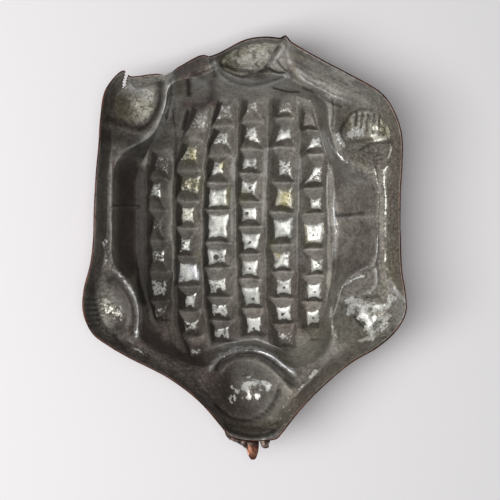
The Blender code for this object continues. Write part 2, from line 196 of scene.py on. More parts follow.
rim, crest, crest_depth = [], [], []
for sectors, first, last, level, shape in CREST:
    rim += even_rim(first, last, FINENESS * sectors)
    crest += list(crest_stretch(FINENESS * sectors, shape))
    crest_depth += [level] * (FINENESS * sectors)
rim = np.array(rim)
crest = rounded(np.array(crest), CREST_ROUNDING)
crest_depth = rounded(np.array(crest_depth), LEVEL_ROUNDING)
print("rim and crest have", len(rim), "points each")

# %% [markdown]
# ## Wall, ledge, lobes and shell
#
# The depth of every point comes from a few simple rules. The wall falls steeply from the rim and
# ends in a narrow ledge. The feet, the head and the tail are egg-shaped hollows beaten into that
# ledge. Inside the crest the metal drops to the shell, whose ridges are level in the middle and
# climb to both ends, like the back of the animal.


# %% Wall, ledge and lobes
WALL_DEPTH, WALL_DRAFT, WALL_CURVE = 10.0, 7.0, 1.25
LEDGE_DEPTH, LEDGE_WIDTH = 10.6, 4.3
STEEPEST_WALL, TAIL_STEEPER = 2.4, 5.0
TAIL_ALONG, TAIL_ACROSS = (98.0, 106.0), (24.0, 14.0)
# Each lobe: centre, half sizes and depth.
LOBES = [
    ((-76.0, -35.0), (15.0, 19.0), 20.0),
    ((-61.0, 77.0), (15.0, 17.0), 20.0),
    ((1.0, 105.5), (14.5, 9.5), 13.0),
    ((68.0, 67.0), (17.0, 18.0), 21.0),
    ((69.0, -39.0), (18.0, 16.0), 20.0),
    ((3.5, -82.0), (19.5, 21.0), 24.0),
]
LOBE_SOFTNESS = 3.0
LOBE_ENDS = -20.0


def border_depth(x, y, from_rim):
    """Depth of the border at a distance from the rim: wall, ledge and the lobes beaten into it."""
    wall = WALL_DEPTH * (1.0 - (1.0 - np.clip(from_rim / WALL_DRAFT, 0.0, 1.0)) ** WALL_CURVE)
    ledge = smooth_step(WALL_DRAFT, WALL_DRAFT + LEDGE_WIDTH, from_rim)
    depth = wall + (LEDGE_DEPTH - WALL_DEPTH) * ledge
    for (cx, cy), (rx, ry), bottom in LOBES:
        away = ((x - cx) / rx) ** 2 + ((y - cy) / ry) ** 2
        hollow = bottom - (bottom - LEDGE_DEPTH) * away
        merged = LOBE_SOFTNESS * np.logaddexp(depth / LOBE_SOFTNESS, hollow / LOBE_SOFTNESS)
        depth = np.where(hollow > LOBE_ENDS, merged, depth)
    steep = STEEPEST_WALL + TAIL_STEEPER * smooth_step(*TAIL_ALONG, y) * smooth_step(*TAIL_ACROSS, np.abs(x))
    return np.minimum(depth, steep * from_rim)


print("lobes:", len(LOBES), "- deepest", max(bottom for _, _, bottom in LOBES), "mm")

# %% [markdown]
# ## Shell
#
# The shell under the studs is a shallow dome upside down. It is level in the middle, and climbs
# more steeply to the head than to the tail. Its edge on both sides is straight for most of the
# length and draws in towards the ends.


# %% Shell
RIDGE_DEPTH = 44.0
SHELL_MIDDLE_Y = 12.0
LEVEL_LENGTH, LEVEL_WIDTH = 24.0, 19.0
NEAR_CLIMB, NEAR_CURVE = 18.0, 1.7
FAR_CLIMB, FAR_CURVE = 13.0, 2
END_REACH = 52.0
SIDE_CLIMB, SIDE_REACH, SIDE_CURVE = 5.0, 35.0, 2
EDGE_HALF_WIDTH, EDGE_STRAIGHT = 54.0, 30.0
EDGE_NARROWING, EDGE_REACH, EDGE_CURVE = 14.0, 44.0, 1.2
COLUMNS = 6
COLUMN_PITCH = 18.3


def dome_depth(x, y):
    """Depth of the ridges between the studs."""
    along = np.clip(np.abs(y - SHELL_MIDDLE_Y) - LEVEL_LENGTH, 0.0, None) / END_REACH
    across = np.clip(np.abs(x) - LEVEL_WIDTH, 0.0, None) / SIDE_REACH
    climb = np.where(y < SHELL_MIDDLE_Y, NEAR_CLIMB * along ** NEAR_CURVE, FAR_CLIMB * along ** FAR_CURVE)
    return RIDGE_DEPTH - climb - SIDE_CLIMB * across ** SIDE_CURVE


def edge_half_width(y):
    """Half width of the studded field."""
    beyond = np.clip(np.abs(y - SHELL_MIDDLE_Y) - EDGE_STRAIGHT, 0.0, None) / EDGE_REACH
    return EDGE_HALF_WIDTH - EDGE_NARROWING * beyond ** EDGE_CURVE


def column_side(ridge, y):
    """Where a ridge runs, counted from 0 at the left edge to COLUMNS at the right edge."""
    if ridge == 0:
        return -edge_half_width(y)
    if ridge == COLUMNS:
        return edge_half_width(y)
    return np.full_like(y, (ridge - COLUMNS / 2) * COLUMN_PITCH)


print("ridges at most", RIDGE_DEPTH, "mm deep;", COLUMNS, "columns of studs", COLUMN_PITCH, "mm apart")

# %% [markdown]
# ## Smooth random hills
#
# Beaten metal is uneven at every size. One function serves for all of it: a table of random
# heights, stretched to the size that is wanted and blended smoothly between its entries. Its seed
# makes it give the same hills each time. A second function lays hills of several sizes on each
# other.


# %% Waviness
HILLS = 97
HILLS_FROM = (31.7, 47.3)


def waviness(x, y, size, seed):
    """Smooth random hills about size mm across, between -1 and 1."""
    table = np.random.default_rng(seed).uniform(-1.0, 1.0, (HILLS, HILLS))
    u, v = x / size + HILLS_FROM[0], y / size + HILLS_FROM[1]
    i, j = np.floor(u).astype(int), np.floor(v).astype(int)
    fu, fv = u - i, v - j
    fu, fv = fu * fu * (3 - 2 * fu), fv * fv * (3 - 2 * fv)
    i, j, i1, j1 = i % HILLS, j % HILLS, (i + 1) % HILLS, (j + 1) % HILLS
    near = table[i, j] * (1 - fu) + table[i1, j] * fu
    far = table[i, j1] * (1 - fu) + table[i1, j1] * fu
    return near * (1 - fv) + far * fv


def hills(x, y, layers):
    """Hills of several sizes on each other. A layer is a height, a size in mm and a seed."""
    return sum(height * waviness(x, y, size, seed) for height, size, seed in layers)


print("hills repeat after", HILLS, "sizes")

# %% [markdown]
# ## Laying out the points
#
# The studded field is a regular grid. Around it lie rings of points, each ring a step further out
# until the last one is the rim. The two meet along the border of the field, which has exactly as
# many points as each ring.


# %% Points of the sheet
# Near and far end of each column of studs, as y in mm.
FIELD_NEAR = (-52.0, -62.0, -54.0, -51.5, -58.5, -52.0)
FIELD_FAR = (86.0, 83.0, 85.5, 86.0, 87.5, 85.0)


def field_plan():
    """Plan positions of the grid over the studs: its lines follow the columns of studs."""
    middles = np.array([(c + 0.5 - COLUMNS / 2) * COLUMN_PITCH for c in range(COLUMNS)])
    i, j = np.meshgrid(np.arange(FIELD_X + 1), np.arange(FIELD_Y + 1), indexing="ij")
    share = i / FIELD_X * COLUMNS
    column = np.minimum(share.astype(int), COLUMNS - 1)
    rough_x = (share - COLUMNS / 2) * COLUMN_PITCH
    near_y, far_y = (np.interp(rough_x, middles, ends) for ends in (FIELD_NEAR, FIELD_FAR))
    y = near_y + (far_y - near_y) * j / FIELD_Y
    sides = np.array([column_side(c, y) for c in range(COLUMNS + 1)])
    left = np.take_along_axis(sides, column[None], 0)[0]
    right = np.take_along_axis(sides, column[None] + 1, 0)[0]
    return np.stack((left + (right - left) * (share - column), y), axis=-1)


field = field_plan()
around = [(0, j) for j in range(FIELD_Y)] + [(i, FIELD_Y) for i in range(FIELD_X)]
around += [(FIELD_X, j) for j in range(FIELD_Y, 0, -1)] + [(i, 0) for i in range(FIELD_X, 0, -1)]
edge = np.array([field[i, j] for i, j in around])
edge_depth = dome_depth(edge[:, 0], edge[:, 1])
print("the field has", len(field), "by", len(field[0]), "points,", len(edge), "of them on its border")

# %% [markdown]
# ## Crest beside the studs
#
# The wall round the shell nearly touches the studs on both sides. A little gap has to stay there,
# as the smith needed room for the punch, so the crest is pushed outwards wherever it comes too
# close.

# %% Crest beside the studs
CREST_CLEARANCE = 1.4
SIDES_FROM_X, PAST_THE_FIELD = 40.0, 4.0
KINK_ROUNDING = 30
along = crest[:, 1]
beside = (np.abs(crest[:, 0]) > SIDES_FROM_X)
beside &= (along > edge[:, 1].min() - PAST_THE_FIELD) & (along < edge[:, 1].max() + PAST_THE_FIELD)
clear_x = np.maximum(np.abs(crest[:, 0]), edge_half_width(crest[:, 1]) + CREST_CLEARANCE)
crest[beside, 0] = (np.sign(crest[:, 0]) * clear_x)[beside]
crest = rounded(crest, KINK_ROUNDING)
print("the crest keeps", CREST_CLEARANCE, "mm clear of the studs")

# %% [markdown]
# ## Partners round the field
#
# Every point on the border of the field needs a partner on the crest, so that a row of faces can
# run between them. The nearest one would do, but it jumps at the corners and squeezes the faces. So
# the steps between partners are kept between about a third and two and a half times the usual one.

# %% Partners
OFFSET_ROUNDING, STEP_PASSES = 150, 200
SHORTEST_STEP, LONGEST_STEP = 0.35, 2.6
SECTOR = np.arange(SECTORS)
nearest = np.array([np.argmin(np.linalg.norm(crest - point, axis=1)) for point in edge])
offset = (nearest - SECTOR + SECTORS // 2) % SECTORS - SECTORS // 2
offset = rounded(offset.astype(float), OFFSET_ROUNDING)
partner = SECTOR + offset
for _ in range(STEP_PASSES):
    step = np.diff(partner, append=partner[0] + SECTORS)
    step = np.clip(step, SHORTEST_STEP, LONGEST_STEP)
    drift = (SECTORS - step.sum()) / SECTORS
    partner = partner[0] + np.concatenate(([0.0], np.cumsum(step + drift)[:-1]))
partner += np.mean(SECTOR + offset) - partner.mean()


def at_partner(values):
    """Values along the rim or the crest, read at the partner of each point of the field's border."""
    wrapped = np.concatenate((values, values, values))
    spots = partner + SECTORS
    stations = np.arange(3 * SECTORS)
    if values.ndim == 1:
        return np.interp(spots, stations, wrapped)
    return np.stack([np.interp(spots, stations, wrapped[:, k]) for k in range(2)], axis=-1)


rim, crest, crest_depth = at_partner(rim), at_partner(crest), at_partner(crest_depth)
print("steps between partners from", *extent(step))

# %% [markdown]
# ## Rings of points
#
# Now the rings are laid: steep ones down the wall, wide ones over the ledge, and then a slope from
# the crest to the studs that drops quickly and levels out, as metal does when it is beaten down
# over a block.

# %% Rings
WALL_RINGS, FLOOR_RINGS, SLOPE_RINGS = 14, 24, 36
WIDEST_WALL = 0.7
CREST_BLEND = 4.0
SHELF_FROM, LEFT_SHELF_WIDER, LEFT_SHELF_X = 0.87, 0.13, (-30.0, -50.0)
SLOPE_SPACING, SLOPE_CURVE = 1.15, 1.35
span = np.linalg.norm(crest - rim, axis=1)
wall_share = np.minimum(WALL_DRAFT / span, WIDEST_WALL)
plans, depths = [], []
for k in range(WALL_RINGS + FLOOR_RINGS):
    if k < WALL_RINGS:
        share = wall_share * k / (WALL_RINGS - 1)
    else:
        share = wall_share + (1.0 - wall_share) * (k - WALL_RINGS + 1) / FLOOR_RINGS
    plan = rim + (crest - rim) * share[:, None]
    depth = border_depth(plan[:, 0], plan[:, 1], share * span)
    depth += (crest_depth - depth) * smooth_step(1.0 - CREST_BLEND / span, 1.0, share)
    plans.append(plan)
    depths.append(depth)
shelf_from = SHELF_FROM - LEFT_SHELF_WIDER * smooth_step(*LEFT_SHELF_X, edge[:, 0])
for k in range(1, SLOPE_RINGS):
    share = (k / SLOPE_RINGS) ** SLOPE_SPACING
    plan = crest + (edge - crest) * share
    drop = 1.0 - (1.0 - np.minimum(share / shelf_from, 1.0)) ** SLOPE_CURVE
    plans.append(plan)
    depths.append(crest_depth + (edge_depth - crest_depth) * drop)
RINGS = len(plans)
CREST_RING = WALL_RINGS + FLOOR_RINGS - 1
print("rings", RINGS, "of", SECTORS, "points")

# %% [markdown]
# ## Softening the crest
#
# A crease in beaten sheet is never sharp, so depths near the crest are averaged with their
# neighbours. In a few places the hammer flattened the crest almost away, and there a much softer
# copy takes over.


# %% Softening the crest
REACHES = (5, 5, 4, 4, 3, 3, 2, 2)
WIDE_REACH, WIDE_PASSES = 16, 300
# Round places in the picture: x, y and radius in pixels.
SOFT_PLACES = [(366, 172, 18), (322, 92, 10), (155, 352, 20), (175, 365, 20), (195, 378, 18),
               (322, 378, 20), (340, 360, 18)]


def in_places(px, py, places):
    """How much a point of the picture lies in one of the round places, from 0 to 1."""
    inside = sum(np.exp(-((px - u) ** 2 + (py - v) ** 2) / size ** 2) for u, v, size in places)
    return np.minimum(inside, 1.0)


stack = np.array(depths)
for reach in REACHES:
    band = slice(CREST_RING - reach, CREST_RING + reach + 1)
    above = slice(CREST_RING - reach - 1, CREST_RING + reach)
    below = slice(CREST_RING - reach + 1, CREST_RING + reach + 2)
    stack[band] = 0.5 * stack[band] + 0.25 * (stack[above] + stack[below])
wide = stack.copy()
wide_from = CREST_RING - WIDE_REACH
for _ in range(WIDE_PASSES):
    inner = wide[wide_from:RINGS - 1]
    wide[wide_from + 1:RINGS - 2] = 0.5 * inner[1:-1] + 0.25 * (inner[:-2] + inner[2:])
stack += in_places(*in_picture(crest[:, 0], crest[:, 1], crest_depth), SOFT_PLACES) * (wide - stack)

plan = np.concatenate(plans + [field.reshape(-1, 2)])
x, y = plan[:, 0], plan[:, 1]
depth = np.concatenate((stack.ravel(), dome_depth(field[..., 0], field[..., 1]).ravel()))
print("points of the sheet", len(plan))

# %% [markdown]
# ## The studs
#
# Each stud is a square pit with a flat floor, struck from the inside with a punch. No two are
# alike, so their floors are traced over the picture: four corners each, and how much the tin still
# shines. Ridges run between the columns, and lower saddles between the studs of one column.

# %% Studs over the picture
def picture_points(text):
    """Reads points of the picture, each written as x,y in pixels."""
    return np.array([[float(value) for value in point.split(",")] for point in text.split()])


# One row for each of the seven ridges, from left to right.
RIDGE_ROWS = """
148,150 147,180 146.5,220 147,260 148,300 150,320
193,100 187,115 183,125 178,140 176,150 173.5,170 172.5,200 173.5,240 174,270 173,300 174,320 \
178,335 184,350 186,360
216,92 212,115 209.5,130 207,145 204.5,160 203,180 202.5,200 203,240 202.5,270 204,300 206,320 \
209,335 213,350
239,95 238,110 238,130 237,160 235,180 235.5,200 236,240 237,270 238,300 240,330 242,345
268,100 268,120 267.5,150 267,170 266.5,200 266,240 266,270 266,300 268,330 270,345
296.5,100 299,120 299.5,150 298.5,180 298,220 297,260 297,300 297,340
322,100 325,130 327,160 327.5,200 328,240 327,270 326,300 324,320
"""
RIDGE_LINES = [picture_points(row) for row in RIDGE_ROWS.strip().splitlines()]
# How far down in the picture the saddles of each column lie.
SADDLES = [
    [150, 179, 211, 241, 272, 301, 322],
    [106, 141, 172, 202, 228, 257, 286, 310, 334, 359],
    [97, 128, 157, 184, 210, 243, 268, 297, 320, 343],
    [95, 123, 150, 174, 202, 227, 254, 278, 307, 336],
    [95, 118, 148, 183, 213, 245, 271, 297, 323, 348],
    [103, 130, 155, 188, 213, 249, 275, 301, 329],
]
# One block for each column. A stud has its far left, far right, near right and near left corner,
# and then its shine.
STUD_BLOCKS = """
159,157 168,157 167,173 156,169 0.34 | 153,184 160,183 160,199 149,197 0.62 |
154,219 161,219 160,231 153,229 0.36 | 153,250 164,250 163,262 152,262 0.42 |
152,281 168,281 164,296 154,296 0.66 | 156,307 166,307 164,318 157,317 0.36

198,111 208,111 207,132 191,127 0.42 | 189,147 196,146 196,160 181,160 0.66 |
183,177 200,176 199,193 181,190 0.52 | 183,208 193,208 192,221 183,222 0.7 |
182,239 190,238 189,251 180,251 0.7 | 181,264 197,264 200,280 179,283 0.9 |
187,296 196,294 193,307 186,307 0.8 | 185,322 198,320 196,331 186,331 0.5 |
189,349 199,349 198,355 190,355 0.48

222,104 229,104 232,118 217,119 0.52 | 220,133 225,133 228,144 214,143 0.7 |
215,162 222,162 222,173 212,175 0.78 | 211,190 226,188 227,205 209,207 1.1 |
209,214 228,214 226,237 209,238 0.95 | 209,249 225,249 224,263 209,265 0.86 |
210,280 225,279 225,292 211,293 0.74 | 212,304 227,304 226,317 213,315 0.68 |
215,328 229,327 228,340 216,337 0.72

248,102 255,102 257,112 247,111 0.5 | 247,128 255,128 259,142 245,140 0.62 |
245,159 256,158 257,168 243,169 0.8 | 243,182 256,182 254,195 242,193 0.8 |
242,208 255,208 256,220 242,221 0.8 | 242,233 260,233 256,248 245,248 1 |
242,261 257,260 256,275 242,275 1.08 | 241,288 258,288 260,304 246,304 1.14 |
247,318 260,318 259,331 248,332 1.3

281,101 290,101 292,113 280,113 0.3 | 281,130 288,130 291,139 275,142 0.86 |
281,162 289,162 292,178 280,174 0.72 | 278,189 292,189 292,208 276,206 0.8 |
274,220 292,219 291,237 276,237 1.1 | 275,253 290,251 289,268 275,269 0.78 |
278,281 290,280 290,293 278,294 1.05 | 277,307 289,307 290,320 280,319 1.25 |
279,333 292,332 292,344 281,344 0.42

305,112 318,112 318,127 303,127 0.05 | 313,138 318,137 320,146 307,149 0.78 |
316,168 321,168 322,182 305,184 0.72 | 311,199 321,198 321,210 312,210 0.86 |
305,225 324,223 322,243 307,243 0.78 | 312,259 323,259 321,271 313,272 0.68 |
308,284 320,284 319,298 308,298 1.2 | 307,312 318,311 318,323 308,325 1.15
"""


def read_stud(text):
    """The corners of a stud's floor and its shine."""
    *corners, shine = text.split()
    return picture_points(" ".join(corners)), float(shine)


STUDS = [[read_stud(stud) for stud in block.split("|")] for block in STUD_BLOCKS.strip().split("\n\n")]
print("studs", sum(len(column) for column in STUDS))

# %% [markdown]
# ## The shape of one stud
#
# A pit has four walls. Those to the left and right rise to the ridges, those at the far and near
# end only to the saddles. Each wall runs from 0 on its rounded top to 1 at its foot, and the lower
# of them says how deep a point lies. The ends of the floor bulge a little, as a punch leaves them.


# %% Shape of a stud
SADDLE_SHARE = 0.3
LEFT_ROUND, RIGHT_ROUND, SADDLE_ROUND = 0.22, 0.3, 0.25
NARROWEST_WALL = 2.0
PAST_CORNERS, PAST_BULGE = (-0.4, 1.4), -0.6
BULGE = 1.7


def round_rise(share, radius):
    """Rises from 0 on a rounded ridge top to 1 where the wall's foot is."""
    return (np.hypot(share, radius) - radius) / (np.hypot(1.0, radius) - radius)


def soft_min(a, b, softness):
    """The smaller of two values, with a rounded corner where they cross."""
    h = np.clip(0.5 + 0.5 * (b - a) / softness, 0.0, 1.0)
    return b * (1 - h) + a * h - softness * h * (1 - h)


def between(position, first, second):
    """Runs from 0 at the first line to 1 at the second. Two lines are at least a narrow wall apart."""
    width = second - first
    width = np.where(np.abs(width) < NARROWEST_WALL, NARROWEST_WALL * np.sign(width), width)
    return (position - first) / width


def across_stud(u, v, left, right, corners):
    """The rise from the ridges to the floor's sides, and how much the floor's ends bulge."""
    (ax, ay), (bx, by), (cx, cy), (dx, dy) = corners
    floor_left = ax + (dx - ax) * np.clip((v - ay) / (dy - ay), *PAST_CORNERS)
    floor_right = bx + (cx - bx) * np.clip((v - by) / (cy - by), *PAST_CORNERS)
    walls = np.minimum(round_rise(between(u, left, floor_left), LEFT_ROUND),
                       round_rise(between(u, right, floor_right), RIGHT_ROUND))
    inward = 1.0 - (2.0 * (u - floor_left) / (floor_right - floor_left) - 1.0) ** 2
    return walls, BULGE * np.clip(inward, PAST_BULGE, 1.0)


def along_stud(u, v, top, bottom, corners, bulge, far_share, near_share):
    """The rise from the saddles to the floor's ends."""
    (ax, ay), (bx, by), (cx, cy), (dx, dy) = corners
    floor_top = ay + (by - ay) * (u - ax) / (bx - ax) + bulge
    floor_bottom = dy + (cy - dy) * (u - dx) / (cx - dx) - bulge
    far = round_rise(between(v, top, floor_top), SADDLE_ROUND)
    near = round_rise(between(v, bottom, floor_bottom), SADDLE_ROUND)
    return np.minimum(far_share + (1 - far_share) * far, near_share + (1 - near_share) * near)


print("saddles rise to", 1 - SADDLE_SHARE, "of the ridges")

# %% [markdown]
# ## Where a point of the sheet appears
#
# A point in a pit appears a little to the left of the same point on the rim, because the camera
# leans. So every point is projected with its own depth, the pits are worked out, and both are
# repeated a few times until the floors lie exactly where they were traced. Each stud also leaves
# its first marks: tin that shines on the floor, a painted highlight along the creases, painted
# shade on the wall that faces away from the window, a darker line along the ridge tops, and
# painted light along the crests of the saddles.

# %% Pits
STUD_DEPTH = 6.4
PROJECTIONS = 5
WALL_SOFTNESS, FLOOR_SOFTNESS = 0.06, 0.1
FLOOR_FROM = (0.87, 0.97)
# The creases get a painted highlight through the tin mark.
CREASE_WIDTH, CREASE_FROM, CREASE_HIGHLIGHT = 0.06, (0.45, 0.8), 0.34
# Painted shade on the wall of each pit that faces away from the window, one strength per column.
SHADED_WALL, SHADED_FROM = (0.8, 0.9, 0.85, 0.6, 0.4, 0.15), (0.06, 0.3)
RIDGE_SOOT, RIDGE_TO = 0.4, (0.16, 0.02)
# Painted light along the crest of each saddle, through the haze mark.
SADDLE_LIGHT, SADDLE_LINE = 0.18, 1.1
# Hills that make the punched lines uneven, in pixels.
WAVES_X, WAVES_Y = ((0.9, 7.0, 20), (0.4, 3.0, 21)), ((0.7, 6.0, 22), (0.4, 2.6, 23))
in_field = np.arange(len(plan)) >= RINGS * SECTORS
wave_x, wave_y = hills(x, y, WAVES_X), hills(x, y, WAVES_Y)
pit = np.zeros(len(plan))
for _ in range(PROJECTIONS):
    px, py = in_picture(x, y, depth + pit)
    px, py = px + wave_x, py + wave_y
    fresh, tin, soot, haze = (np.zeros(len(plan)) for _ in range(4))
    for column, studs in enumerate(STUDS):
        left, right = (np.interp(py, line[:, 1], line[:, 0]) for line in RIDGE_LINES[column:column + 2])
        for row, (corners, shine) in enumerate(studs):
            top, bottom = SADDLES[column][row:row + 2]
            here = np.flatnonzero(in_field & (px > left) & (px < right) & (py > top) & (py < bottom))
            u, v = px[here], py[here]
            walls, bulge = across_stud(u, v, left[here], right[here], corners)
            steps = along_stud(u, v, top, bottom, corners, bulge, SADDLE_SHARE if row else 0.0,
                               SADDLE_SHARE if row < len(studs) - 1 else 0.0)
            shape = soft_min(soft_min(walls, steps, WALL_SOFTNESS), 1.0, FLOOR_SOFTNESS)
            fresh[here] = STUD_DEPTH * shape
            floor = smooth_step(*FLOOR_FROM, shape)
            crease = np.exp(-((walls - steps) / CREASE_WIDTH) ** 2) * smooth_step(*CREASE_FROM, shape)
            tin[here] = np.maximum(floor * shine, CREASE_HIGHLIGHT * crease * min(1.0, 1.2 * shine))
            shaded_side = (u - left[here] < right[here] - u) & (walls < steps)
            wall_shade = np.where(shaded_side, SHADED_WALL[column] * smooth_step(*SHADED_FROM, shape), 0.0)
            soot[here] = np.maximum((1 - floor) * wall_shade, RIDGE_SOOT * smooth_step(*RIDGE_TO, walls))
            saddle = np.exp(-(np.minimum(v - top, bottom - v) / SADDLE_LINE) ** 2) * (walls > SADDLE_SHARE)
            haze[here] = SADDLE_LIGHT * saddle * (0 < row < len(studs) - 2)
    pit = fresh
print("deepest pit", round(float(pit.max()), 2), "mm")

# %% [markdown]
# ## Creases, collars and scratches
#
# Lines that the smith punched and that wear has brightened are traced over the picture. Each one
# has a half width and a height, which is positive for a ridge and negative for a groove. It may
# also leave a finish: tin that shines, soot, an olive or rusty tarnish, a pale haze or crust. Many
# lines paint light and shade as well: bright tin as painted highlights on edges and folds, pale haze
# as painted light where a face turns to the window, and soot and rust as painted shade in grooves
# and on faces turned away. To know which points of the sheet a line touches, every point is first
# projected into the picture.


# %% Tracing a line
TRACE_MARGIN = 3.0
RAGGED_EDGES = ((0.6, 2.2, 11), (0.5, 1.1, 12))
px, py = in_picture(x, y, depth + pit)
raised, olive, rust, crust = (np.zeros(len(plan)) for _ in range(4))
on_table = {"tin": tin, "soot": soot, "olive": olive, "haze": haze, "rust": rust, "crust": crust}
ragged = hills(x, y, RAGGED_EDGES)


def distance_to_line(px, py, points):
    """Shortest distance from many points to a line of segments."""
    best = np.full(len(px), np.inf)
    for (ax, ay), (bx, by) in zip(points[:-1], points[1:]):
        dx, dy = bx - ax, by - ay
        t = np.clip(((px - ax) * dx + (py - ay) * dy) / (dx * dx + dy * dy + 1e-9), 0.0, 1.0)
        best = np.minimum(best, np.hypot(px - ax - t * dx, py - ay - t * dy))
    return best


def trace(points, half_width, lift=0.0, rough=0.0, square=2.0, **finishes):
    """Raises the sheet along a line seen in the picture and leaves finishes there.

    The line is half_width mm wide to each side and lifts the sheet by lift mm. A rough line has
    ragged edges, and the more square it is, the flatter its top.
    """
    line = np.array(points, float)
    if len(line) == 1:
        line = np.repeat(line, 2, axis=0)
    reach = half_width / MM_PER_PIXEL
    low, high = line.min(axis=0) - TRACE_MARGIN * reach, line.max(axis=0) + TRACE_MARGIN * reach
    near = np.flatnonzero((px > low[0]) & (px < high[0]) & (py > low[1]) & (py < high[1]))
    away = distance_to_line(px[near], py[near], line) / reach
    away = np.clip(away + rough * ragged[near], 0.0, None)
    profile = np.exp(-away ** square)
    raised[near] += lift * profile
    for name, strength in finishes.items():
        values = on_table[name]
        values[near] = np.maximum(values[near], strength * profile)


print("finishes that a line may leave:", ", ".join(on_table))

# %% [markdown]
# ## Tables of lines
#
# There are about 260 such lines, so they are kept in tables. A row of a table has three parts: the
# points of the line in pixels of the picture, its half width and its height in millimetres, and
# what it leaves, by name. A backslash carries a long row on to the next line.


# %% Tracing a table
def trace_table(title, rows):
    """Traces every row: points in pixels | half width and lift in mm | names with their values."""
    rows = rows.strip().splitlines()
    for row in rows:
        points, measures, marks = (part.split() for part in row.split("|"))
        named = {name: float(value) for name, value in zip(marks[::2], marks[1::2])}
        trace(picture_points(" ".join(points)), *(float(value) for value in measures), **named)
    print(title, "-", len(rows), "lines; raised so far from", *extent(raised), "mm")


# %% [markdown]
# ## Tail
#
# The tail is an egg-shaped bowl with a raised collar below it, and pale crust along its rim. Its
# scales are small dents, each a pale raised line with a dark groove beside it. A sine for x and
# another for y strew them over the bowl.

# %% Tail
TAIL_LINES = """
129,82 150,80 166,76 | 2.2 0.2 | rough 1 tin 0.72 olive 0.7
188,112 184,128 | 1.8 | square 3 soot 1
176.5,138 175.5,175 | 1.6 | square 3 soot 0.8
222,60 221,65 223,69 228,72.5 235,75.5 242,77 250,75 258,72.5 264,69.5 268,66 | 1 -1.5 | soot 0.8
209,60 212,66 221,78 233,86 249,89.5 267,86.5 280,81 289,76 | 1.6 1.8 | rough 0.2 haze 0.9
215,62 225,73.5 239,80 253,82 271,77.5 287,73 | 1.2 1.6 | rough 0.2 haze 0.9
212,62 221,74 231,81.5 249,86 269,82.5 283,77 | 0.7 -0.8 | soot 0.5
214,84 225,91 245,95 262,94 | 0.7 0.5 | rough 0.3 haze 0.3
279,47 275,53 271,60 267.5,66 | 0.8 -1.2 | soot 0.8
283,47 278,55 273,63 | 1.2 0.8 | rough 0.2 haze 0.6
267,66 271,69.5 277,72 284,72.5 | 0.6 -1 | soot 1
273,88 282,90.5 290,92 299,92 | 0.6 -1 | soot 1
230,64 244,58 262,48 | 7 | rough 0.4 olive 0.6 crust 0.6
240,55 252,53 262,50 | 3 | rough 0.7 olive 1
244,68 256,63 | 1.6 | rough 0.8 rust 0.5 olive 0.7
252,60 266,50 | 4 0.2 | rough 0.5 haze 0.35
226,62 230,68 | 3.4 -0.6 | rough 0.4 soot 0.5 olive 0.6
252,42 262,43 | 2 0.3 | rough 0.5 crust 1
266,40 272,44 | 2.2 | rough 0.4 rust 0.6
236,56 248,46 263,45 | 5.2 | rough 0.4 olive 0.5 crust 0.7
242,60 252,55 263,54 | 2.4 0.3 | rough 0.7 haze 0.8 olive 0.6
238,70 252,66 | 2 0.2 | rough 0.7 haze 0.6 olive 0.4
224,57 226,68 232,72 | 3.8 | rough 0.5 soot 0.5 olive 1
232,62 240,68 | 2.2 | rough 0.8 soot 0.5 olive 0.6
270,44 277,45 | 1.6 | rough 0.5 rust 0.6 haze 0.4
279,36 286,37 291,40 297,47 | 0.9 | rough 0.6 rust 1.2
284,46 280,54 276,61 | 1 0.5 | rough 0.4 haze 0.9
289,44 287,54 291,63 | 0.9 0.4 | rough 0.5 haze 0.8
277,60 282,66 287,71 | 0.5 -0.6 | soot 0.7
246,77 256,75 266,70 | 1.3 | rough 0.9 soot 0.7
254,80 270,77 283,73 | 0.9 | rough 0.8 soot 0.5
291,61 303,62 | 2.6 | rough 0.5 rust 0.6 haze 0.3
291,54 293,62 296,72 | 0.8 | rough 0.6 olive 1
300,54 307,60 | 1.8 | rough 0.5 olive 1
297,52 306,56 317,61 328,67 | 0.9 | rough 0.4 rust 1.2 soot 0.3
232,50 244,44 258,42.5 268,43.5 | 1.8 | rough 0.5 haze 0.6 olive 0.5
212,86 214,96 | 2.2 -1.6 | soot 0.55
209,60 222,53 236,45 250,40.5 266,41 | 1.7 | rough 0.5 haze 1 crust 0.6
"""
trace_table("tail", TAIL_LINES)
SCALES = 26
BOWL_X, BOWL_Y, BOWL_WIDE, BOWL_HIGH = 248, 58, 23, 15
for k in range(SCALES):
    u, v = 228 + 42 * abs(math.sin(1.9 * k + 0.4)), 44 + 28 * abs(math.sin(2.7 * k + 1.0))
    if ((u - BOWL_X) / BOWL_WIDE) ** 2 + ((v - BOWL_Y) / BOWL_HIGH) ** 2 < 1.0:
        pale = {"olive": 1.0} if k % 3 == 0 else {"haze": 0.9}
        trace([(u, v), (u + 3, v - 2)], 0.75, 0.3, rough=0.9, square=3.0, **pale)
        trace([(u + 3.5, v + 2.5), (u + 5, v + 4)], 0.7, -0.3, rough=0.9, square=3.0, soot=0.6, olive=0.7)

# %% [markdown]
# ## Lump beside the tail
#
# Between the tail and the left foot the sheet bulges where a repair was hammered out. Its top is
# painted pale as light, a dark line of painted shade runs down its left side, and a purple-brown
# painted shadow lies under it. Purple-brown tarnish lies above it.

# %% Lump beside the tail
LUMP_LINES = """
196,84 205,90 | 4.4 6 | square 2.6 haze 0.2
194,84 203,83 209,87 | 3 | rough 0.5 haze 1
194,106 206,104 216,99 | 2.6 -3 | rust 1 soot 0.6
194,98 208,97 | 2.6 0.4 | rust 0.8
183,73 195,68 206,62 | 5 | rough 0.3 square 3 rust 1.15 soot 0.2
186,104 200,106 212,100 | 3.2 | rough 0.2 square 3 rust 1.15 soot 0.25
181,82 181,92 | 2.1 | rough 0.3 rust 0.7 olive 1
188,80 188.5,95 | 1.5 -2.4 | soot 1
212,55 210,62 215,76 | 0.9 -0.5 | rough 0.6 soot 0.8
"""
trace_table("lump", LUMP_LINES)
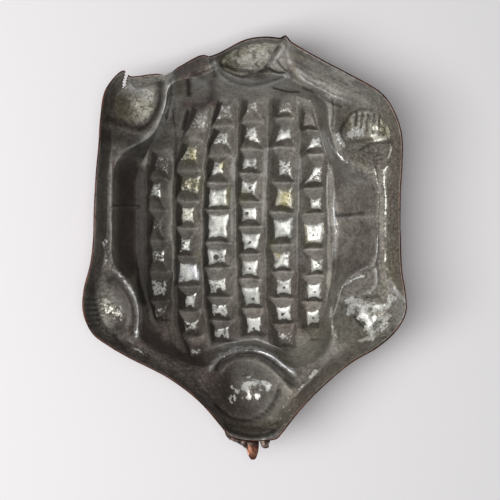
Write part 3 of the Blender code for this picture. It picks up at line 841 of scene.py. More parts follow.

# %% [markdown]
# ## Far left foot
#
# The foot is a smooth bowl with a broad collar on the shell side. Its tin has gone yellow-green,
# with pale crust where water stood. Pale haze along the collar and on the foot's wall that faces
# the window is partly painted light, and the crevice inside the collar and the crease under the
# foot are dark with painted shade and brown tarnish.

# %% Far left foot
FAR_LEFT_FOOT_LINES = """
169.5,78 169.5,95 167.5,108 163,120 156,131 147,139.5 137,146 | 3.8 2.4 | square 3 haze 0.8
166,80 166,95 164,108 159,120 152,130 143,138 | 1 0.15 | rough 0.6 haze 1.1
173.5,80 173.5,95 171.5,109 167,122 | 1 0.2 | rough 0.5 haze 1
170.5,80 170.5,96 168.5,108 165,118 | 0.5 | rough 0.6 soot 0.6
160.5,84 159.5,95 158,106 154,115 148,123 140,128 | 2.5 -1.7 | soot 0.95
108,119 125,123 138,126 148,124 | 3 -1.6 | rough 0.3 soot 0.6 rust 0.9
128,79 140,79 152,77 162,76 | 2.8 0.3 | rough 0.6 olive 0.8 crust 0.9
148,98 151,108 150,116 | 3 0.5 | rough 0.6 crust 1 olive 0.5
138,104 146,112 | 4.8 -0.6 | rough 0.6 olive 0.5 crust 0.9 haze 0.25
122,100 120,112 132,112 | 4.6 -0.4 | rough 0.6 square 3 rust 0.5 soot 0.25 olive 1
128,86 142,90 149,98 | 3 0.4 | rough 0.6 haze 1
124,98 130,104 | 1.6 -0.6 | rough 0.6 soot 0.5 rust 0.4
113,88 112,112 | 2.8 | rough 0.4 rust 0.9 soot 0.3
112,78 106,92 104,112 | 2.4 -0.3 | rough 0.5 soot 0.5 rust 0.4
168,110 166,120 | 0.5 -0.7 | soot 0.9
172,110 175,127 177,146 | 0.5 -0.7 | rough 0.4 soot 0.9
158,135 168,126 178,120 | 4.2 | rough 0.3 soot 0.25
130,79 146,80 162,77 | 3.2 | rough 0.5 haze 1 olive 0.9
"""
trace_table("far left foot", FAR_LEFT_FOOT_LINES)

# %% [markdown]
# ## Far right foot
#
# This foot kept its toes: five ridges with a groove beside each, and tin that still shines along
# their ends. Two scratches cross the wall beside it.

# %% Far right foot
FAR_RIGHT_FOOT_LINES = """
300,76 306,81 312,84 318,88 323,90 330,94 337,97 345,100 352,103 | 0.9 0.8 | rough 0.25 haze 0.95 \
tin 0.3
303,88 312,91 320,95 326,99 334,102 342,107 | 0.8 -1 | soot 0.7
298,70 310,79 325,85 340,93 355,98 368,104 | 1.6 0.6 | rough 0.3 haze 0.5
305,52 330,66 352,80 | 2.2 0.2 | rough 0.7 haze 0.7 crust 0.4
345,78 352,88 364,92 | 3 0.2 | rough 0.7 haze 0.6 crust 0.5
296,62 306,68 | 2.4 | rough 0.6 soot 0.45
292,66 300,62 | 3 | rough 0.6 rust 0.5
324,134 328,146 331,156 | 2.4 | rough 0.4 haze 0.8
327,100 329,118 329,132 | 1.9 0.9 | rough 0.2 haze 0.35
333.5,100 334,115 332,126 | 0.5 -0.6 | soot 0.6
327,138 331,146 336,153 341,158 347,163.5 | 0.8 1.2 | tin 0.85 haze 0.5
337.5,134 340,139.5 343.5,145.5 | 1.1 1 | tin 1.1 haze 0.6
341,131 346,122 352,113.5 360,110 372,110 | 0.9 -1.3 | soot 0.7
350,122 362,120 376,124 384,130 | 5 -0.6 | rough 0.4 olive 0.7 crust 0.6 rust 0.2
376,116 378,128 | 0.6 0.6 | rough 0.6 tin 0.8
381,120 383,128 | 0.6 0.6 | rough 0.6 tin 0.9
352,135 356,131 361,133 | 2.4 0.7 | rough 0.9 tin 0.95 haze 0.8
374,127 382,129.5 | 1.2 0.6 | rough 0.5 tin 1.1
387,129 389,136 | 1.2 0.6 | rough 0.5 tin 1.1
372,135 378,138 388,137 | 1.3 0.6 | rough 1 square 3 tin 1 olive 0.3
370,150 376,157 378,164 | 3.6 | rough 0.3 rust 0.55
352,141 362,140 372,138 | 1.6 -0.8 | rough 0.4 soot 0.6 olive 0.5
360,150 370,143 380,142 391,143 | 0.8 -1 | soot 0.7
355,150 358,160 366,168 | 1.8 0.5 | rough 0.5 olive 0.4 tin 0.2
"""
trace_table("far right foot", FAR_RIGHT_FOOT_LINES)
TOES = 5
for k in range(TOES):
    ridge = [(355 + 5.4 * k, 112 + 0.9 * k), (353 + 5.8 * k, 130 + 0.5 * k)]
    trace(ridge, 0.9, 1.2, rough=0.2, haze=0.7, olive=0.3)
    trace([(u + 3, v) for u, v in ridge], 0.7, -1.0, rough=0.2, soot=0.8)

# %% [markdown]
# ## Right side
#
# The side wall ends in two thin bright lines along the folds of the sheet: raised lines with bright
# tin painted on them as highlights, and the edge of the shell beside the panel is drawn the same
# way. A crease crosses the panel half way, as it does on the left, with painted light on its ridge
# and painted shade in its groove.

# %% Right side
RIGHT_SIDE_LINES = """
391,141 391,148 389.5,153 387.5,158 | 0.6 0.6 | rough 0.7 tin 0.8
387,166 384.5,170 384,178 384.5,188 385.5,198 385.5,206 385,214 | 0.6 0.7 | tin 0.9
385,222 385,232 385,245 | 0.5 0.5 | tin 0.42
385,250 385,262 | 0.6 0.6 | tin 0.85
386,268 388,275 391,282 394,290 396,297 | 0.7 0.5 | rough 0.5 tin 0.5 olive 0.3
372,158 374,165 376,176 377.5,186 378.5,196 378.5,207 | 0.4 0.45 | tin 0.5
368,216.5 373,216.5 376,219 377,228 377.5,240 377,250 375.5,258 375,264 376,270 377,280 374.5,290 \
368,294 | 0.4 0.45 | tin 0.5
338,218.5 350,218 358,217.5 376,216.5 | 0.9 1.4 | haze 0.45
337,215 350,214.5 364,213 | 0.8 -1.4 | soot 0.85
331,166 332.5,180 333,192 333.5,205 334,215 334,222 336,230 335.5,240 335,250 335,257 | 0.8 0.9 | \
tin 0.35 haze 1
334,208 334.5,216 336,226 | 0.8 0.3 | tin 0.9
327,176 326.5,195 327.5,208 328.5,220 329,230 | 0.45 0.5 | tin 0.2 haze 0.8
"""
trace_table("right side", RIGHT_SIDE_LINES)

# %% [markdown]
# ## Left side
#
# The left wall faces away from the window. Only hints of its edges show: a pale line along the
# wall, a paler band along its top, a crease with painted light on its ridge and painted shade in
# its groove, and some grey crust at its near end.

# %% Left side
LEFT_SIDE_LINES = """
105,187 105.5,200 106,212 105.5,225 104.5,236 | 0.5 0.4 | tin 0.2
104.5,242 107,252 106,262 | 1.4 0.4 | rough 0.9 tin 0.5
112,165 111.5,180 111,200 111,220 112.5,240 113.5,250 | 0.7 0.5 | haze 0.3
114,160 113,178 113,195 | 1.2 | rust 0.7
111,209 116,208 125,207.5 137,207 | 0.8 1.4 | haze 0.2
114,205.5 125,205 136,204.5 | 0.7 -1 | soot 0.9
97,150 94.5,183 93.5,216 92.5,250 | 1.6 | rough 0.4 haze 0.9
"""
trace_table("left side", LEFT_SIDE_LINES)

# %% [markdown]
# ## Near left foot
#
# A collar with a speckled, half-worn edge runs round this foot, and six short toe grooves mark its
# outer side. Greenish crust fills the middle.

# %% Near left foot
NEAR_LEFT_FOOT_LINES = """
115,271 121,277 126,283 131,290 135,297 138,305 139.5,313 139,322 138,329 137,336 | 1.9 1.9 | \
rough 0.5 square 3 haze 0.85 tin 0.36
114,267 119,272 122,277 | 1.3 0.6 | rough 0.9 tin 0.45
113,281 119,286 125,292 129,299 132,307 133,316 131.5,327 | 1.9 -1.8 | soot 0.8 rust 0.5
105,302 109,309 116,313 | 3.8 0.7 | rough 0.6 tin 0.6 olive 0.3 crust 1
100,318 108,325 112,334 | 3.6 0.3 | rough 0.6 crust 0.8 haze 0.3
92,290 88,312 94,334 104,344 | 3.6 | rough 0.6 soot 0.6
105,250 102,266 96,280 | 3 | rough 0.5 haze 0.2 soot 0.3
122,280 116,270 112,262 | 1.6 -0.6 | rough 0.4 soot 0.6
112,297 119,303 122,311 | 2 0.4 | rough 0.4 haze 0.55 rust 0.3
99,276 102,286 106,293 | 3 0.4 | rough 0.4 haze 0.2
106,290 113,288 | 1.6 | rough 0.4 rust 0.5 haze 0.3
114,322 122,332 130,338 | 4 0.3 | rough 0.2 rust 0.6
133,348 138,350 144,354 | 0.5 0.3 | rough 0.4 tin 0.8
133,334 136,343 | 2.4 | rough 0.3 soot 0.75
101,298 104,306 | 1.8 | rough 0.5 soot 0.5
"""
trace_table("near left foot", NEAR_LEFT_FOOT_LINES)
GROOVES = 6
for k in range(GROOVES):
    ridge = [(86 + 0.4 * k, 296 + 5.6 * k), (97 + 0.6 * k, 297 + 5.0 * k)]
    trace(ridge, 0.6, 1.0, haze=0.5)
    trace([(u, v + 3) for u, v in ridge], 0.8, -1.0, soot=0.9)

# %% [markdown]
# ## Near right foot
#
# Here most of the dull skin has come off in flakes. The bright patches are traced as short thick
# lines with ragged edges, which is how flakes look from above. The groove and the wall below them,
# which face away from the window, are painted with shade.

# %% Near right foot
NEAR_RIGHT_FOOT_LINES = """
372,265.7 361,268.7 348,276.7 338,290 333,298.7 331.4,308.5 331,318 332,327 335,334 337,341 | 0.9 \
1 | rough 0.2 haze 0.4
331,308 331,316 | 0.9 0.3 | tin 1
333,326 335,331 337,338 | 0.9 0.3 | rough 0.5 tin 0.85
364,275.5 353,279.7 344,285 340,290 337,295 | 0.8 0.8 | rough 0.25 tin 0.8 haze 0.3
376,240 377,256 373.6,264.5 376.6,272 377,286.5 370,291 362.6,294.4 | 0.7 0.6 | rough 0.2 haze 0.8
388,280 392,286 395.6,292.6 400.5,298.7 | 1 0.5 | rough 0.3 haze 0.8 olive 0.4
391,270 392,282 398,294 | 2.6 | rough 0.4 olive 0.7
364,293 375,294 386,290 | 3.6 | rough 0.5 crust 0.35 olive 0.3
366,297 378,297 | 0.9 -0.5 | rough 0.6 soot 0.7
347,301 352,299.5 353,304 348,309 349,313 353,312 | 1.6 0.8 | rough 0.4 square 3 tin 1.1 haze 0.4
356,304 361,306 364,313 362,317 | 2.8 0.7 | rough 0.5 square 3 tin 1.25 crust 0.7
362,302 367.5,305 376,308.5 386,306.6 392,298 | 2 0.9 | rough 0.5 square 3 tin 1.2 crust 0.8
366,302 374,303 | 0.9 0.5 | rough 0.5 tin 0.9
372,317 380,319 387,317 | 2.4 0.7 | rough 0.6 square 3 tin 0.85 crust 1
366,316 370,323 368,328 372,332 372.5,338 | 1.9 0.8 | rough 0.5 square 3 tin 1.3 crust 0.5
376,326 380,328 384,322 | 2 0.5 | rough 0.8 tin 1 crust 0.9
370,337 374,337 | 1.3 0.6 | rough 0.3 tin 1.1
360,340.5 364,340 368,338 | 0.8 0.4 | rough 0.5 tin 1
378,312 386,322 382,334 | 4.6 | rough 0.4 crust 0.9 haze 0.2
355,316 361,322.5 368,330 | 1 -1.8 | rough 0.2 soot 0.9
352,324 360,332 | 3.6 -0.6 | soot 0.2
364,322 366,328 | 1.2 -0.6 | soot 0.7
322,335 340,345 350,338 | 8 | square 3 olive 0.55
345,300 341,306 | 2.2 | rough 0.3 haze 0.3 soot 0.2
392,288 398,295 404,300 | 2 0.4 | rough 0.4 haze 1 tin 0.4
396,300 402,310 399,322 | 4 | rough 0.3 haze 0.6
"""
trace_table("near right foot", NEAR_RIGHT_FOOT_LINES)

# %% [markdown]
# ## Head
#
# The head is the deepest bowl. A punched collar arches over it, its middle is rubbed bright in
# patches, and two round discs with a ring about them lie where somebody tested a punch. Small
# bright specks are strewn in the bowl and over the wall to the right of it. A dark crescent of
# painted shade lies under the collar, and the left side of the bowl, which faces away from the
# window, is painted dark with shade and brown tarnish.

# %% Head
HEAD_LINES = """
226,431 230,435 | 1 0.8 | rough 0.4 haze 0.7
262,437 272,435 | 0.9 0.7 | rough 0.4 haze 0.7 rust 0.4
210,369 213,363 220,357 229,352 240,349 250,348.3 258,349.6 266,352.8 273,357.5 281,363.5 288,369 \
295,375 | 1.5 2.6 | square 2.6 haze 0.75 tin 0.3
255,348.5 263,350.5 271,355.5 281,362.5 292,371 | 1.5 0.1 | rough 0.4 tin 0.9 haze 1
220,356 230,350.5 240,347.8 252,347 | 1.6 0.1 | rough 0.4 tin 0.7 haze 1
218,369 225,360 234,355.5 242,354 251,354 259,356 267,360 274,365 281,371.5 288,378 293,383 | 2.3 \
-3 | square 3 soot 0.95
216,405 222,411 230,417 240,420 249.5,420.5 258,418 265,413 271,406 275,399 278.5,391 | 1.2 -1.6 | \
soot 1
217,376 214,387 215,398 219,407 | 3.2 -0.6 | square 3 soot 0.5 rust 0.7
228,372 222,388 226,402 236,411 | 4.6 | soot 0.3 rust 0.6
262,408 270,396 272,380 | 3.4 | soot 0.3
240,412 252,412 | 3.6 | soot 0.3
243,387 248,384 255,382 262,382.5 268,386 269,389 | 1.4 0.3 | rough 0.5 square 3 tin 1.25 haze 0.4
257,397 | 1.9 -0.4 | rough 0.3 square 3 tin 1.3
248.5,397.5 | 1.5 -0.3 | rough 0.3 square 3 tin 1.25
246,389 249,391 | 1 -0.3 | rough 0.5 tin 1
262,390 268,389 | 1.2 0.2 | rough 0.5 tin 0.85
253,389 257,389.5 | 0.9 -0.5 | rough 0.3 soot 0.8
236.5,390.5 238,392 | 1.1 0.2 | tin 1.1
232,386.5 | 0.9 0.2 | tin 1.1
254,373.5 | 1.1 0.2 | rough 0.5 tin 0.9
248.5,377 | 1.3 0.2 | rough 0.5 tin 0.85
229,398 232,394.5 235,397 234.5,401 231,402 229,398 | 0.6 0.2 | rough 0.3 tin 1.1
250,403 258,404 | 0.6 0.2 | rough 0.5 tin 0.9
228,433 240,437.5 252,439.5 265,438.5 276,434 | 0.7 0.8 | rough 0.4 haze 0.6 tin 0.4
226,428 240,434 252,436 266,435 275,430 | 1.2 -0.4 | rough 0.3 soot 0.9
227,424 250,429 275,424 | 2.6 | rough 0.5 soot 0.6 olive 0.8
270,426 273,424 277,424 279,427 275,430 270,429 270,426 | 0.5 -0.3 | soot 0.9
311,376 316,371 | 1.4 0.6 | rough 0.3 tin 0.9
300,388 303,385 | 0.9 0.4 | rough 0.3 tin 0.95
300,389 308,381 320,369 | 0.7 0.7 | haze 0.7
224,347 238,342.5 256,342 272,347 | 2.2 | rough 0.3 haze 0.9
"""
trace_table("head", HEAD_LINES)
DISCS = ((257, 397, 5.6), (248.5, 397.5, 4.4))
RING_TURNS = np.radians(range(120, 421, 30))
for u, v, radius in DISCS:
    ring = [(u + radius * math.cos(turn), v + radius * math.sin(turn)) for turn in RING_TURNS]
    trace(ring, 0.35, -0.3, soot=0.8)
BOWL_SPECKS, WALL_SPECKS = 12, 14
for k in range(BOWL_SPECKS):
    trace([(256 + 13 * math.sin(2.9 * k), 385 + 13 * math.cos(1.9 * k + 1))], 0.45, 0.2, rough=0.4, tin=0.95)
for k in range(WALL_SPECKS):
    u, v = 280 + 15 * abs(math.sin(2.3 * k + 1)), 396 + 28 * abs(math.sin(1.7 * k))
    trace([(u, v)], 0.5, 0.3, rough=0.4, tin=0.8)

# %% [markdown]
# ## Studs with a tint of their own
#
# Some studs have yellowed and some have a dark spot in the middle, where the point of the punch bit
# into the tin. Such a spot also takes the shine off the tin round it, so these spots come after all
# lines that shine. Thin pale lines along some of the ridges are painted highlights.

# %% Studs with a tint of their own
STUD_LINES = """
191,148 193,158 | 2.6 | olive 1
184,157 188,160 | 2.2 | olive 0.6
186,180 196,186 | 4.2 | olive 0.85
188,214 | 3.4 | olive 0.5
222,162 223,167 | 1.8 | olive 1 rust 0.3
229,187 228,203 | 1.4 | olive 0.8
285,196 284,205 | 4 | olive 1.1
284,197 | 1.3 -0.2 | rough 0.3 olive 1 rust 0.6
273,240 272,248 279,256 | 1.3 | olive 1
243,193 247,198 243,202 | 1.4 | olive 0.9
306,226 306,240 | 1.6 | olive 0.8
306,244 318,244 | 1.4 | olive 0.9
303,213 318,209 | 0.8 | olive 0.8
310,230 318,236 | 3.6 | haze 0.7 olive 0.4
197,254 198,260 | 1.4 | olive 0.9
181,255 192,258 | 2.6 | rust 0.6
191,268 196,276 | 2.6 | haze 1
183,278 | 3.4 | haze 0.5
202,115 201,126 | 3.4 | haze 0.5 olive 0.2
232,190 232,215 232,240 | 0.7 | haze 0.8
234,158 233,168 234,178 | 1.3 | haze 0.7
265,150 265,175 | 1.2 | haze 0.9
264,182 264,200 263,220 | 0.7 | haze 0.9
301,160 301,180 | 0.5 0.3 | haze 0.9
299,192 299,212 | 0.5 0.3 | haze 0.9
265,150 275,147.5 | 0.8 | haze 0.8
"""
trace_table("studs", STUD_LINES)
SPOT_DEPTH, SPOT_SHINE = -0.3, 0.15
# Dark spots: x and y in pixels, radius in mm.
SPOTS = ((253, 299, 1.0), (284, 288, 1.0), (283, 314, 1.1), (247, 213, 1.2), (313, 318, 0.8), (315, 292, 0.8),
         (216, 257, 1.6), (250, 188, 0.8), (252, 192, 0.9), (250, 242, 0.9), (254, 329, 0.9), (218, 315, 1.8),
         (247, 139, 0.8), (184, 243, 0.8), (250, 269, 0.7), (222, 336, 1.0), (188, 326, 1.1), (219, 290, 1.6))
for u, v, size in SPOTS:
    trace([(u, v)], size, SPOT_DEPTH, rough=0.3, square=3.0, soot=0.8)
    tin[np.hypot(px - u, py - v) < 1.5 * size] *= SPOT_SHINE

# %% [markdown]
# ## Broad tarnish and painted shade
#
# Last come the large soft fields, wide lines with soft ends. They are painted shade and light:
# dark on the left panel and the other walls and slopes that face away from the window, dark and
# brown at the near end and in the head, and pale on what faces the window, with brown and olive
# tarnish in places.

# %% Broad tarnish
TARNISH_AND_SHADE_LINES = """
115,342 150,362 185,388 205,408 | 6 | rough 0.2 soot 0.5 rust 0.6
140,335 165,348 185,365 203,378 | 9 | rough 0.2 square 3 soot 0.42 rust 0.8
152,325 190,345 225,345 | 5 | rough 0.3 soot 0.15 rust 0.7
104,150 104,255 90,300 | 3.8 | rough 0.2 soot 0.66
141,172 141,240 144,300 | 3.8 | square 4 soot 0.9
148,166 147.5,240 149,310 | 1.6 | soot 0.85
135.5,160 135.5,240 138,290 | 0.6 | soot 0.8
127.5,166 127.5,205 127.5,266 | 6.2 | square 6 soot 0.62 rust 0.7
122,158 136,150 150,136 | 2.6 | rough 0.2 haze 0.5
108,150 118,154 132,154 144,156 | 3 | rough 0.3 soot 0.66
200,345 170,335 | 6 | rough 0.3 rust 0.6
300,352 322,350 342,335 | 8 | square 3 haze 0.36 olive 0.6
214,345 250,338 290,348 | 4.4 | square 3 rust 0.4 haze 0.15
300,392 322,372 345,358 | 4.4 | square 3 rust 0.3 soot 0.2
226,84 250,90 285,86 | 5 | haze 0.6
106,136 120,141 136,146 | 5.6 | rough 0.2 square 3 soot 0.86
150,146 164,142 180,140 | 5 | square 3 soot 0.5
184,106 178,124 | 3 | rough 0.3 soot 0.3
120,166 132,158 146,160 | 3 | haze 0.3
216,150 220,172 | 4.4 | square 3 soot 0.35
330,238 331,262 | 5 | square 3 soot 0.35
318,96 326,102 | 4 | soot 0.4
284,398 280,410 | 4 | soot 0.4
160,165 162,260 168,300 | 8 | square 3 soot 0.55
186,160 187,270 | 7 | square 3 soot 0.46
190,290 215,325 235,345 | 13 | square 3 soot 0.34 rust 0.3
230,245 236,300 | 5 | soot 0.15
112,276 120,290 124,306 120,328 | 5 | square 3 soot 0.7 rust 0.6
222,374 226,398 248,410 268,400 | 7 | square 3 soot 0.62
236,370 256,372 266,384 | 5 | square 3 soot 0.4
214,344 206,356 | 5 | square 3 soot 0.3
330,338 322,362 302,388 | 4.6 | square 3 soot 0.45
170,318 215,345 262,332 300,318 | 12 | square 3 rust 0.5
297,262 298,320 | 4 | rust 0.6
266,280 267,330 | 3 | rust 0.5
326,98 330,120 335,150 | 3.4 | rough 0.5 haze 0.25
194,372 206,388 | 6 | square 3 soot 0.6
226,366 250,364 270,376 | 4 | soot 0.3
262,50 272,56 278,70 | 4.4 | rough 0.3 haze 0.4
388,110 400,150 398,210 398,262 406,305 | 7 | rough 0.3 square 3 rust 0.35 olive 0.25
350,345 310,385 285,420 | 7 | rough 0.3 square 3 rust 0.35 olive 0.3
345,180 360,260 | 12 | rough 0.3 square 3 rust 0.22
185,345 225,395 245,440 | 16 | rough 0.3 square 3 rust 0.6
198,362 206,374 214,388 | 6 | rough 0.2 square 3 soot 0.6 rust 0.9
226,370 226,394 | 6.5 | rough 0.2 square 3 soot 0.45 rust 0.8
298,165 298,260 | 3.4 | haze 0.35
344,140 356,148 | 4 | rough 0.4 haze 0.4
392,250 392,290 | 4 | olive 0.5
308,50 330,65 | 5 | rough 0.5 haze 0.4
"""
trace_table("tarnish_and_shade", TARNISH_AND_SHADE_LINES)

# %% [markdown]
# ## Beaten surface
#
# No beaten sheet is smooth. Broad hills come from the hammer, small ones from the punches and from
# the tin, which never flows quite evenly. The scales of the tail are punched in crossing rows.

# %% Beaten surface
# Hills left by the hammer: height and size in mm, and a seed.
HAMMER_MARKS = ((0.4, 20.0, 1), (0.22, 8.0, 2), (0.1, 3.2, 3), (0.05, 1.5, 4))
SCALE_HEIGHT = 0.3
SCALE_ROWS, CROSSING_ROWS, CROSSING_SLANT = 2.2, 2.0, 1.3
TAIL_X = 1.0
SCALED_ACROSS, SCALED_ALONG, SCALED_BELOW = (15.0, 12.0), (97.0, 100.0), 6.0
RIM_LIFT = 0.2
hammer = hills(x, y, HAMMER_MARKS)
scales = np.sin((x + y) * SCALE_ROWS) * np.sin((x - CROSSING_SLANT * y) * CROSSING_ROWS)
on_tail = smooth_step(*SCALED_ACROSS, np.abs(x - TAIL_X)) * smooth_step(*SCALED_ALONG, y)
on_tail *= depth > SCALED_BELOW
lift = raised + hammer + SCALE_HEIGHT * scales * on_tail
lift[:SECTORS] *= RIM_LIFT
lift = np.maximum(lift, -(RIM_HEIGHT - SHEET - depth - pit))
place = np.stack((x * MM, y * MM, (RIM_HEIGHT - depth - pit + lift) * MM), axis=-1)
print("hammer marks from", *extent(hammer), "mm")

# %% [markdown]
# ## How grainy the tin is
#
# The tin of the border is the most grainy, and in clouds. On the shell, in the head and on the
# plate at the left side it lies smoother. This is kept as one more mark of every point.

# %% Grain of the tin
BORDER_GRAIN, SHELL_GRAIN, HEAD_GRAIN, PLATE_GRAIN = 0.6, 0.42, 0.4, 0.25
GRAIN_CLOUDS = ((0.25, 14.0, 31),)
HEAD_AT, HEAD_RADIUS = (247, 387), 33
PLATE_X, PLATE_ACROSS = 124, (15.0, 10.0)
PLATE_TOP, PLATE_BOTTOM = (150, 160), (270, 255)
grain_mark = BORDER_GRAIN + hills(x, y, GRAIN_CLOUDS)
grain_mark[CREST_RING * SECTORS:] = SHELL_GRAIN
grain_mark[np.hypot(px - HEAD_AT[0], py - HEAD_AT[1]) < HEAD_RADIUS] = HEAD_GRAIN
on_plate = smooth_step(*PLATE_ACROSS, np.abs(px - PLATE_X))
on_plate *= smooth_step(*PLATE_TOP, py) * smooth_step(*PLATE_BOTTOM, py)
grain_mark[on_plate > 0.5] = PLATE_GRAIN
print("grain from", *extent(grain_mark))

# %% [markdown]
# ## From points to faces
#
# Four neighbours make a face. Within the rings and within the field that is only counting. Between
# the two, each border point of the field joins the last ring.

# %% Faces
following = (SECTOR + 1) % SECTORS
quads = []
for ring in range(RINGS - 1):
    out, inwards = ring * SECTORS, (ring + 1) * SECTORS
    quads.append(np.stack((SECTOR + out, SECTOR + inwards, following + inwards, following + out), axis=-1))
base = RINGS * SECTORS
last_ring = base - SECTORS
border = np.array([base + i * (FIELD_Y + 1) + j for i, j in around])
quads.append(np.stack((SECTOR + last_ring, border, border[following], following + last_ring), axis=-1))
i, j = np.meshgrid(np.arange(FIELD_X), np.arange(FIELD_Y), indexing="ij")
first = base + i * (FIELD_Y + 1) + j
quads.append(np.stack((first, first + FIELD_Y + 1, first + FIELD_Y + 2, first + 1), axis=-1).reshape(-1, 4))
quads = np.concatenate(quads)
print("faces", len(quads))

# %% [markdown]
# ## Letting worn places settle
#
# Some parts of the shell were beaten so often that their creases ran together. Letting each point
# settle towards the mean of its neighbours does the same. The weight says how much, so it can act
# in a few round places only.


# %% Settling
# Round places in the picture: x, y and radius in pixels.
WORN_PLACES = [(160, 338, 12), (178, 352, 12), (196, 362, 12), (318, 340, 12), (300, 352, 10),
               (222, 92, 6), (242, 93, 6), (262, 93, 6), (282, 93, 6), (302, 96, 6)]
SLOPE_ENDS = [(185, 104, 11.0), (183, 122, 11.0), (171, 142, 11.0)]
WORN_PASSES, STUD_PASSES, SLOPE_PASSES = 150, 3, 300
STUD_SETTLING, IN_A_PIT = 0.5, 0.2


def relaxed(values, weight, passes):
    """Lets every point settle towards its neighbours, the more so the larger its weight."""
    ends = np.concatenate([quads[:, [k, (k + 1) % 4]] for k in range(4)])
    one, other, size = ends[:, 0], ends[:, 1], len(values)
    count = np.bincount(one, minlength=size) + np.bincount(other, minlength=size)
    for _ in range(passes):
        total = np.bincount(one, values[other], size) + np.bincount(other, values[one], size)
        values = values + weight * (total / count - values)
    return values


place[:, 2] = relaxed(place[:, 2], in_places(px, py, WORN_PLACES), WORN_PASSES)
place[:, 2] = relaxed(place[:, 2], STUD_SETTLING * (pit > IN_A_PIT), STUD_PASSES)
place[:, 2] = relaxed(place[:, 2], in_places(px, py, SLOPE_ENDS), SLOPE_PASSES)
print("settled; lowest point", round(float(place[:, 2].min()) / MM, 2), "mm above the table")

# %% [markdown]
# ## Painted shade and light by slope
#
# The walls of the pits that face the tail, away from the lamp, are painted darker as shade, and
# faces that turn towards the head, towards the lamp, are painted paler as light. So the direction
# of each point's surface is worked out and turned into a little more painted shade or painted light.

# %% Slopes
SLOPE_SHADE, SHADE_TILT = 0.55, (0.12, 0.7)
SLOPE_LIGHT, LIGHT_TILT = 0.3, (0.15, 0.75)
SHADE_FROM_DEPTH, SHADE_BELOW_SHINE = 0.3, 0.3
corner = place[quads]
facing = np.cross(corner[:, 2] - corner[:, 0], corner[:, 3] - corner[:, 1])
facing *= np.sign(facing[:, 2:3] + 1e-12)
normal = np.zeros_like(place)
for k in range(4):
    np.add.at(normal, quads[:, k], facing)
normal /= np.linalg.norm(normal, axis=1)[:, None] + 1e-12
tail_facing_shade = smooth_step(*SHADE_TILT, normal[:, 1]) * (pit > SHADE_FROM_DEPTH) * (tin < SHADE_BELOW_SHINE)
soot = np.maximum(soot, SLOPE_SHADE * tail_facing_shade)
haze = np.maximum(haze, SLOPE_LIGHT * smooth_step(*LIGHT_TILT, -normal[:, 1]))
print("darkened points", int((soot > 0.5).sum()))

# %% [markdown]
# ## The tear in the rim
#
# The rim is torn beside the far left foot, and the table shows through. The tear is traced as a
# narrow polygon, and the faces inside it are left out.


# %% Tear
TEAR = picture_points("124.6,69 128.6,69 128.2,76 126.8,83 125.4,89 122.4,89 122.6,83 124.2,77")


def inside_polygon(u, v, corners):
    """Whether points lie inside a polygon: a ray from them crosses its sides an odd number of times."""
    inside = np.zeros(len(u), bool)
    for (ax, ay), (bx, by) in zip(corners, np.roll(corners, -1, axis=0)):
        inside ^= ((ay > v) != (by > v)) & (u < (bx - ax) * (v - ay) / (by - ay + 1e-12) + ax)
    return inside


torn = inside_polygon(px[quads].mean(axis=1), py[quads].mean(axis=1), TEAR)
quads = quads[~torn]
print("quads torn away", int(torn.sum()))

# %% [markdown]
# ## The sheet as an object
#
# The points and faces become one object. Every mark goes along as an attribute of the points, where
# the finishes can read it.


# %% Sheet
def mesh_object(name, points, faces, marks=None):
    """A smooth object from points in metres and faces, with marks as attributes of its points."""
    mesh = bpy.data.meshes.new(name)
    mesh.from_pydata(points.tolist(), [], [tuple(face) for face in faces])
    for mark, values in (marks or {}).items():
        mesh.attributes.new(mark, "FLOAT", "POINT").data.foreach_set("value", values.astype(np.float32))
    mesh.validate()
    thing = bpy.data.objects.new(name, mesh)
    bpy.context.scene.collection.objects.link(thing)
    mesh.shade_smooth()
    return thing


point_marks = on_table | {"soot": soot, "haze": haze, "grain": grain_mark}
sheet = mesh_object("mould_sheet", place, quads, point_marks)
print(sheet.name, "has", len(sheet.data.vertices), "points with", ", ".join(point_marks))

# %% [markdown]
# ## Thickness
#
# So far the sheet has no thickness. Blender's Solidify modifier grows it outwards, away from the
# tin, and gives the outside and the cut edge finishes of their own. Under the tightest folds the
# sheet is drawn thinner, as it is on the real mould, or the outside would come through.

# %% Thickness
FAR_LEFT_FOLD = picture_points("169.5,78 169.5,95 167.5,108 163,120 156,131 147,139.5")
HEAD_FOLD = picture_points("220,357 229,352 240,349 250,348.3 258,349.6 266,352.8 273,357.5 281,363.5")
THINNEST, THIN_WITHIN, FULL_FROM = 0.25, 7.0, 14.0
away = np.minimum(*(distance_to_line(px, py, fold) for fold in (FAR_LEFT_FOLD, HEAD_FOLD)))
thinned = sheet.vertex_groups.new(name="thickness")
thinned.add(range(len(place)), 1.0, "REPLACE")
for index in np.flatnonzero(away < FULL_FROM):
    share = THINNEST + (1.0 - THINNEST) * float(smooth_step(THIN_WITHIN, FULL_FROM, away[index]))
    thinned.add([int(index)], share, "REPLACE")
thickness = sheet.modifiers.new("thickness", "SOLIDIFY")
thickness.vertex_group = thinned.name
thickness.thickness = SHEET * MM
thickness.offset = -1.0
thickness.material_offset = 1
thickness.material_offset_rim = 2
print("sheet", SHEET, "mm thick with", len(quads), "faces")

# %% [markdown]
# ## One function for every node
#
# A finish is a small graph of nodes: patterns go in at one end, a colour and a roughness come out
# at the other. Photographs could be wrapped round the mould instead, but they would carry their
# own light with them, so every pattern here is worked out from noise. One function adds any node
# with its settings and its links. Another turns the hex colours of a colour card into the linear
# values that Blender mixes.


# %% A node, a colour and an empty finish
def linear(hex_colour):
    """A colour written as sRGB hex, as the linear values that the shader works with."""
    parts = [int(hex_colour[k:k + 2], 16) / 255 for k in (1, 3, 5)]
    return tuple(p / 12.92 if p <= 0.04045 else ((p + 0.055) / 1.055) ** 2.4 for p in parts) + (1.0,)


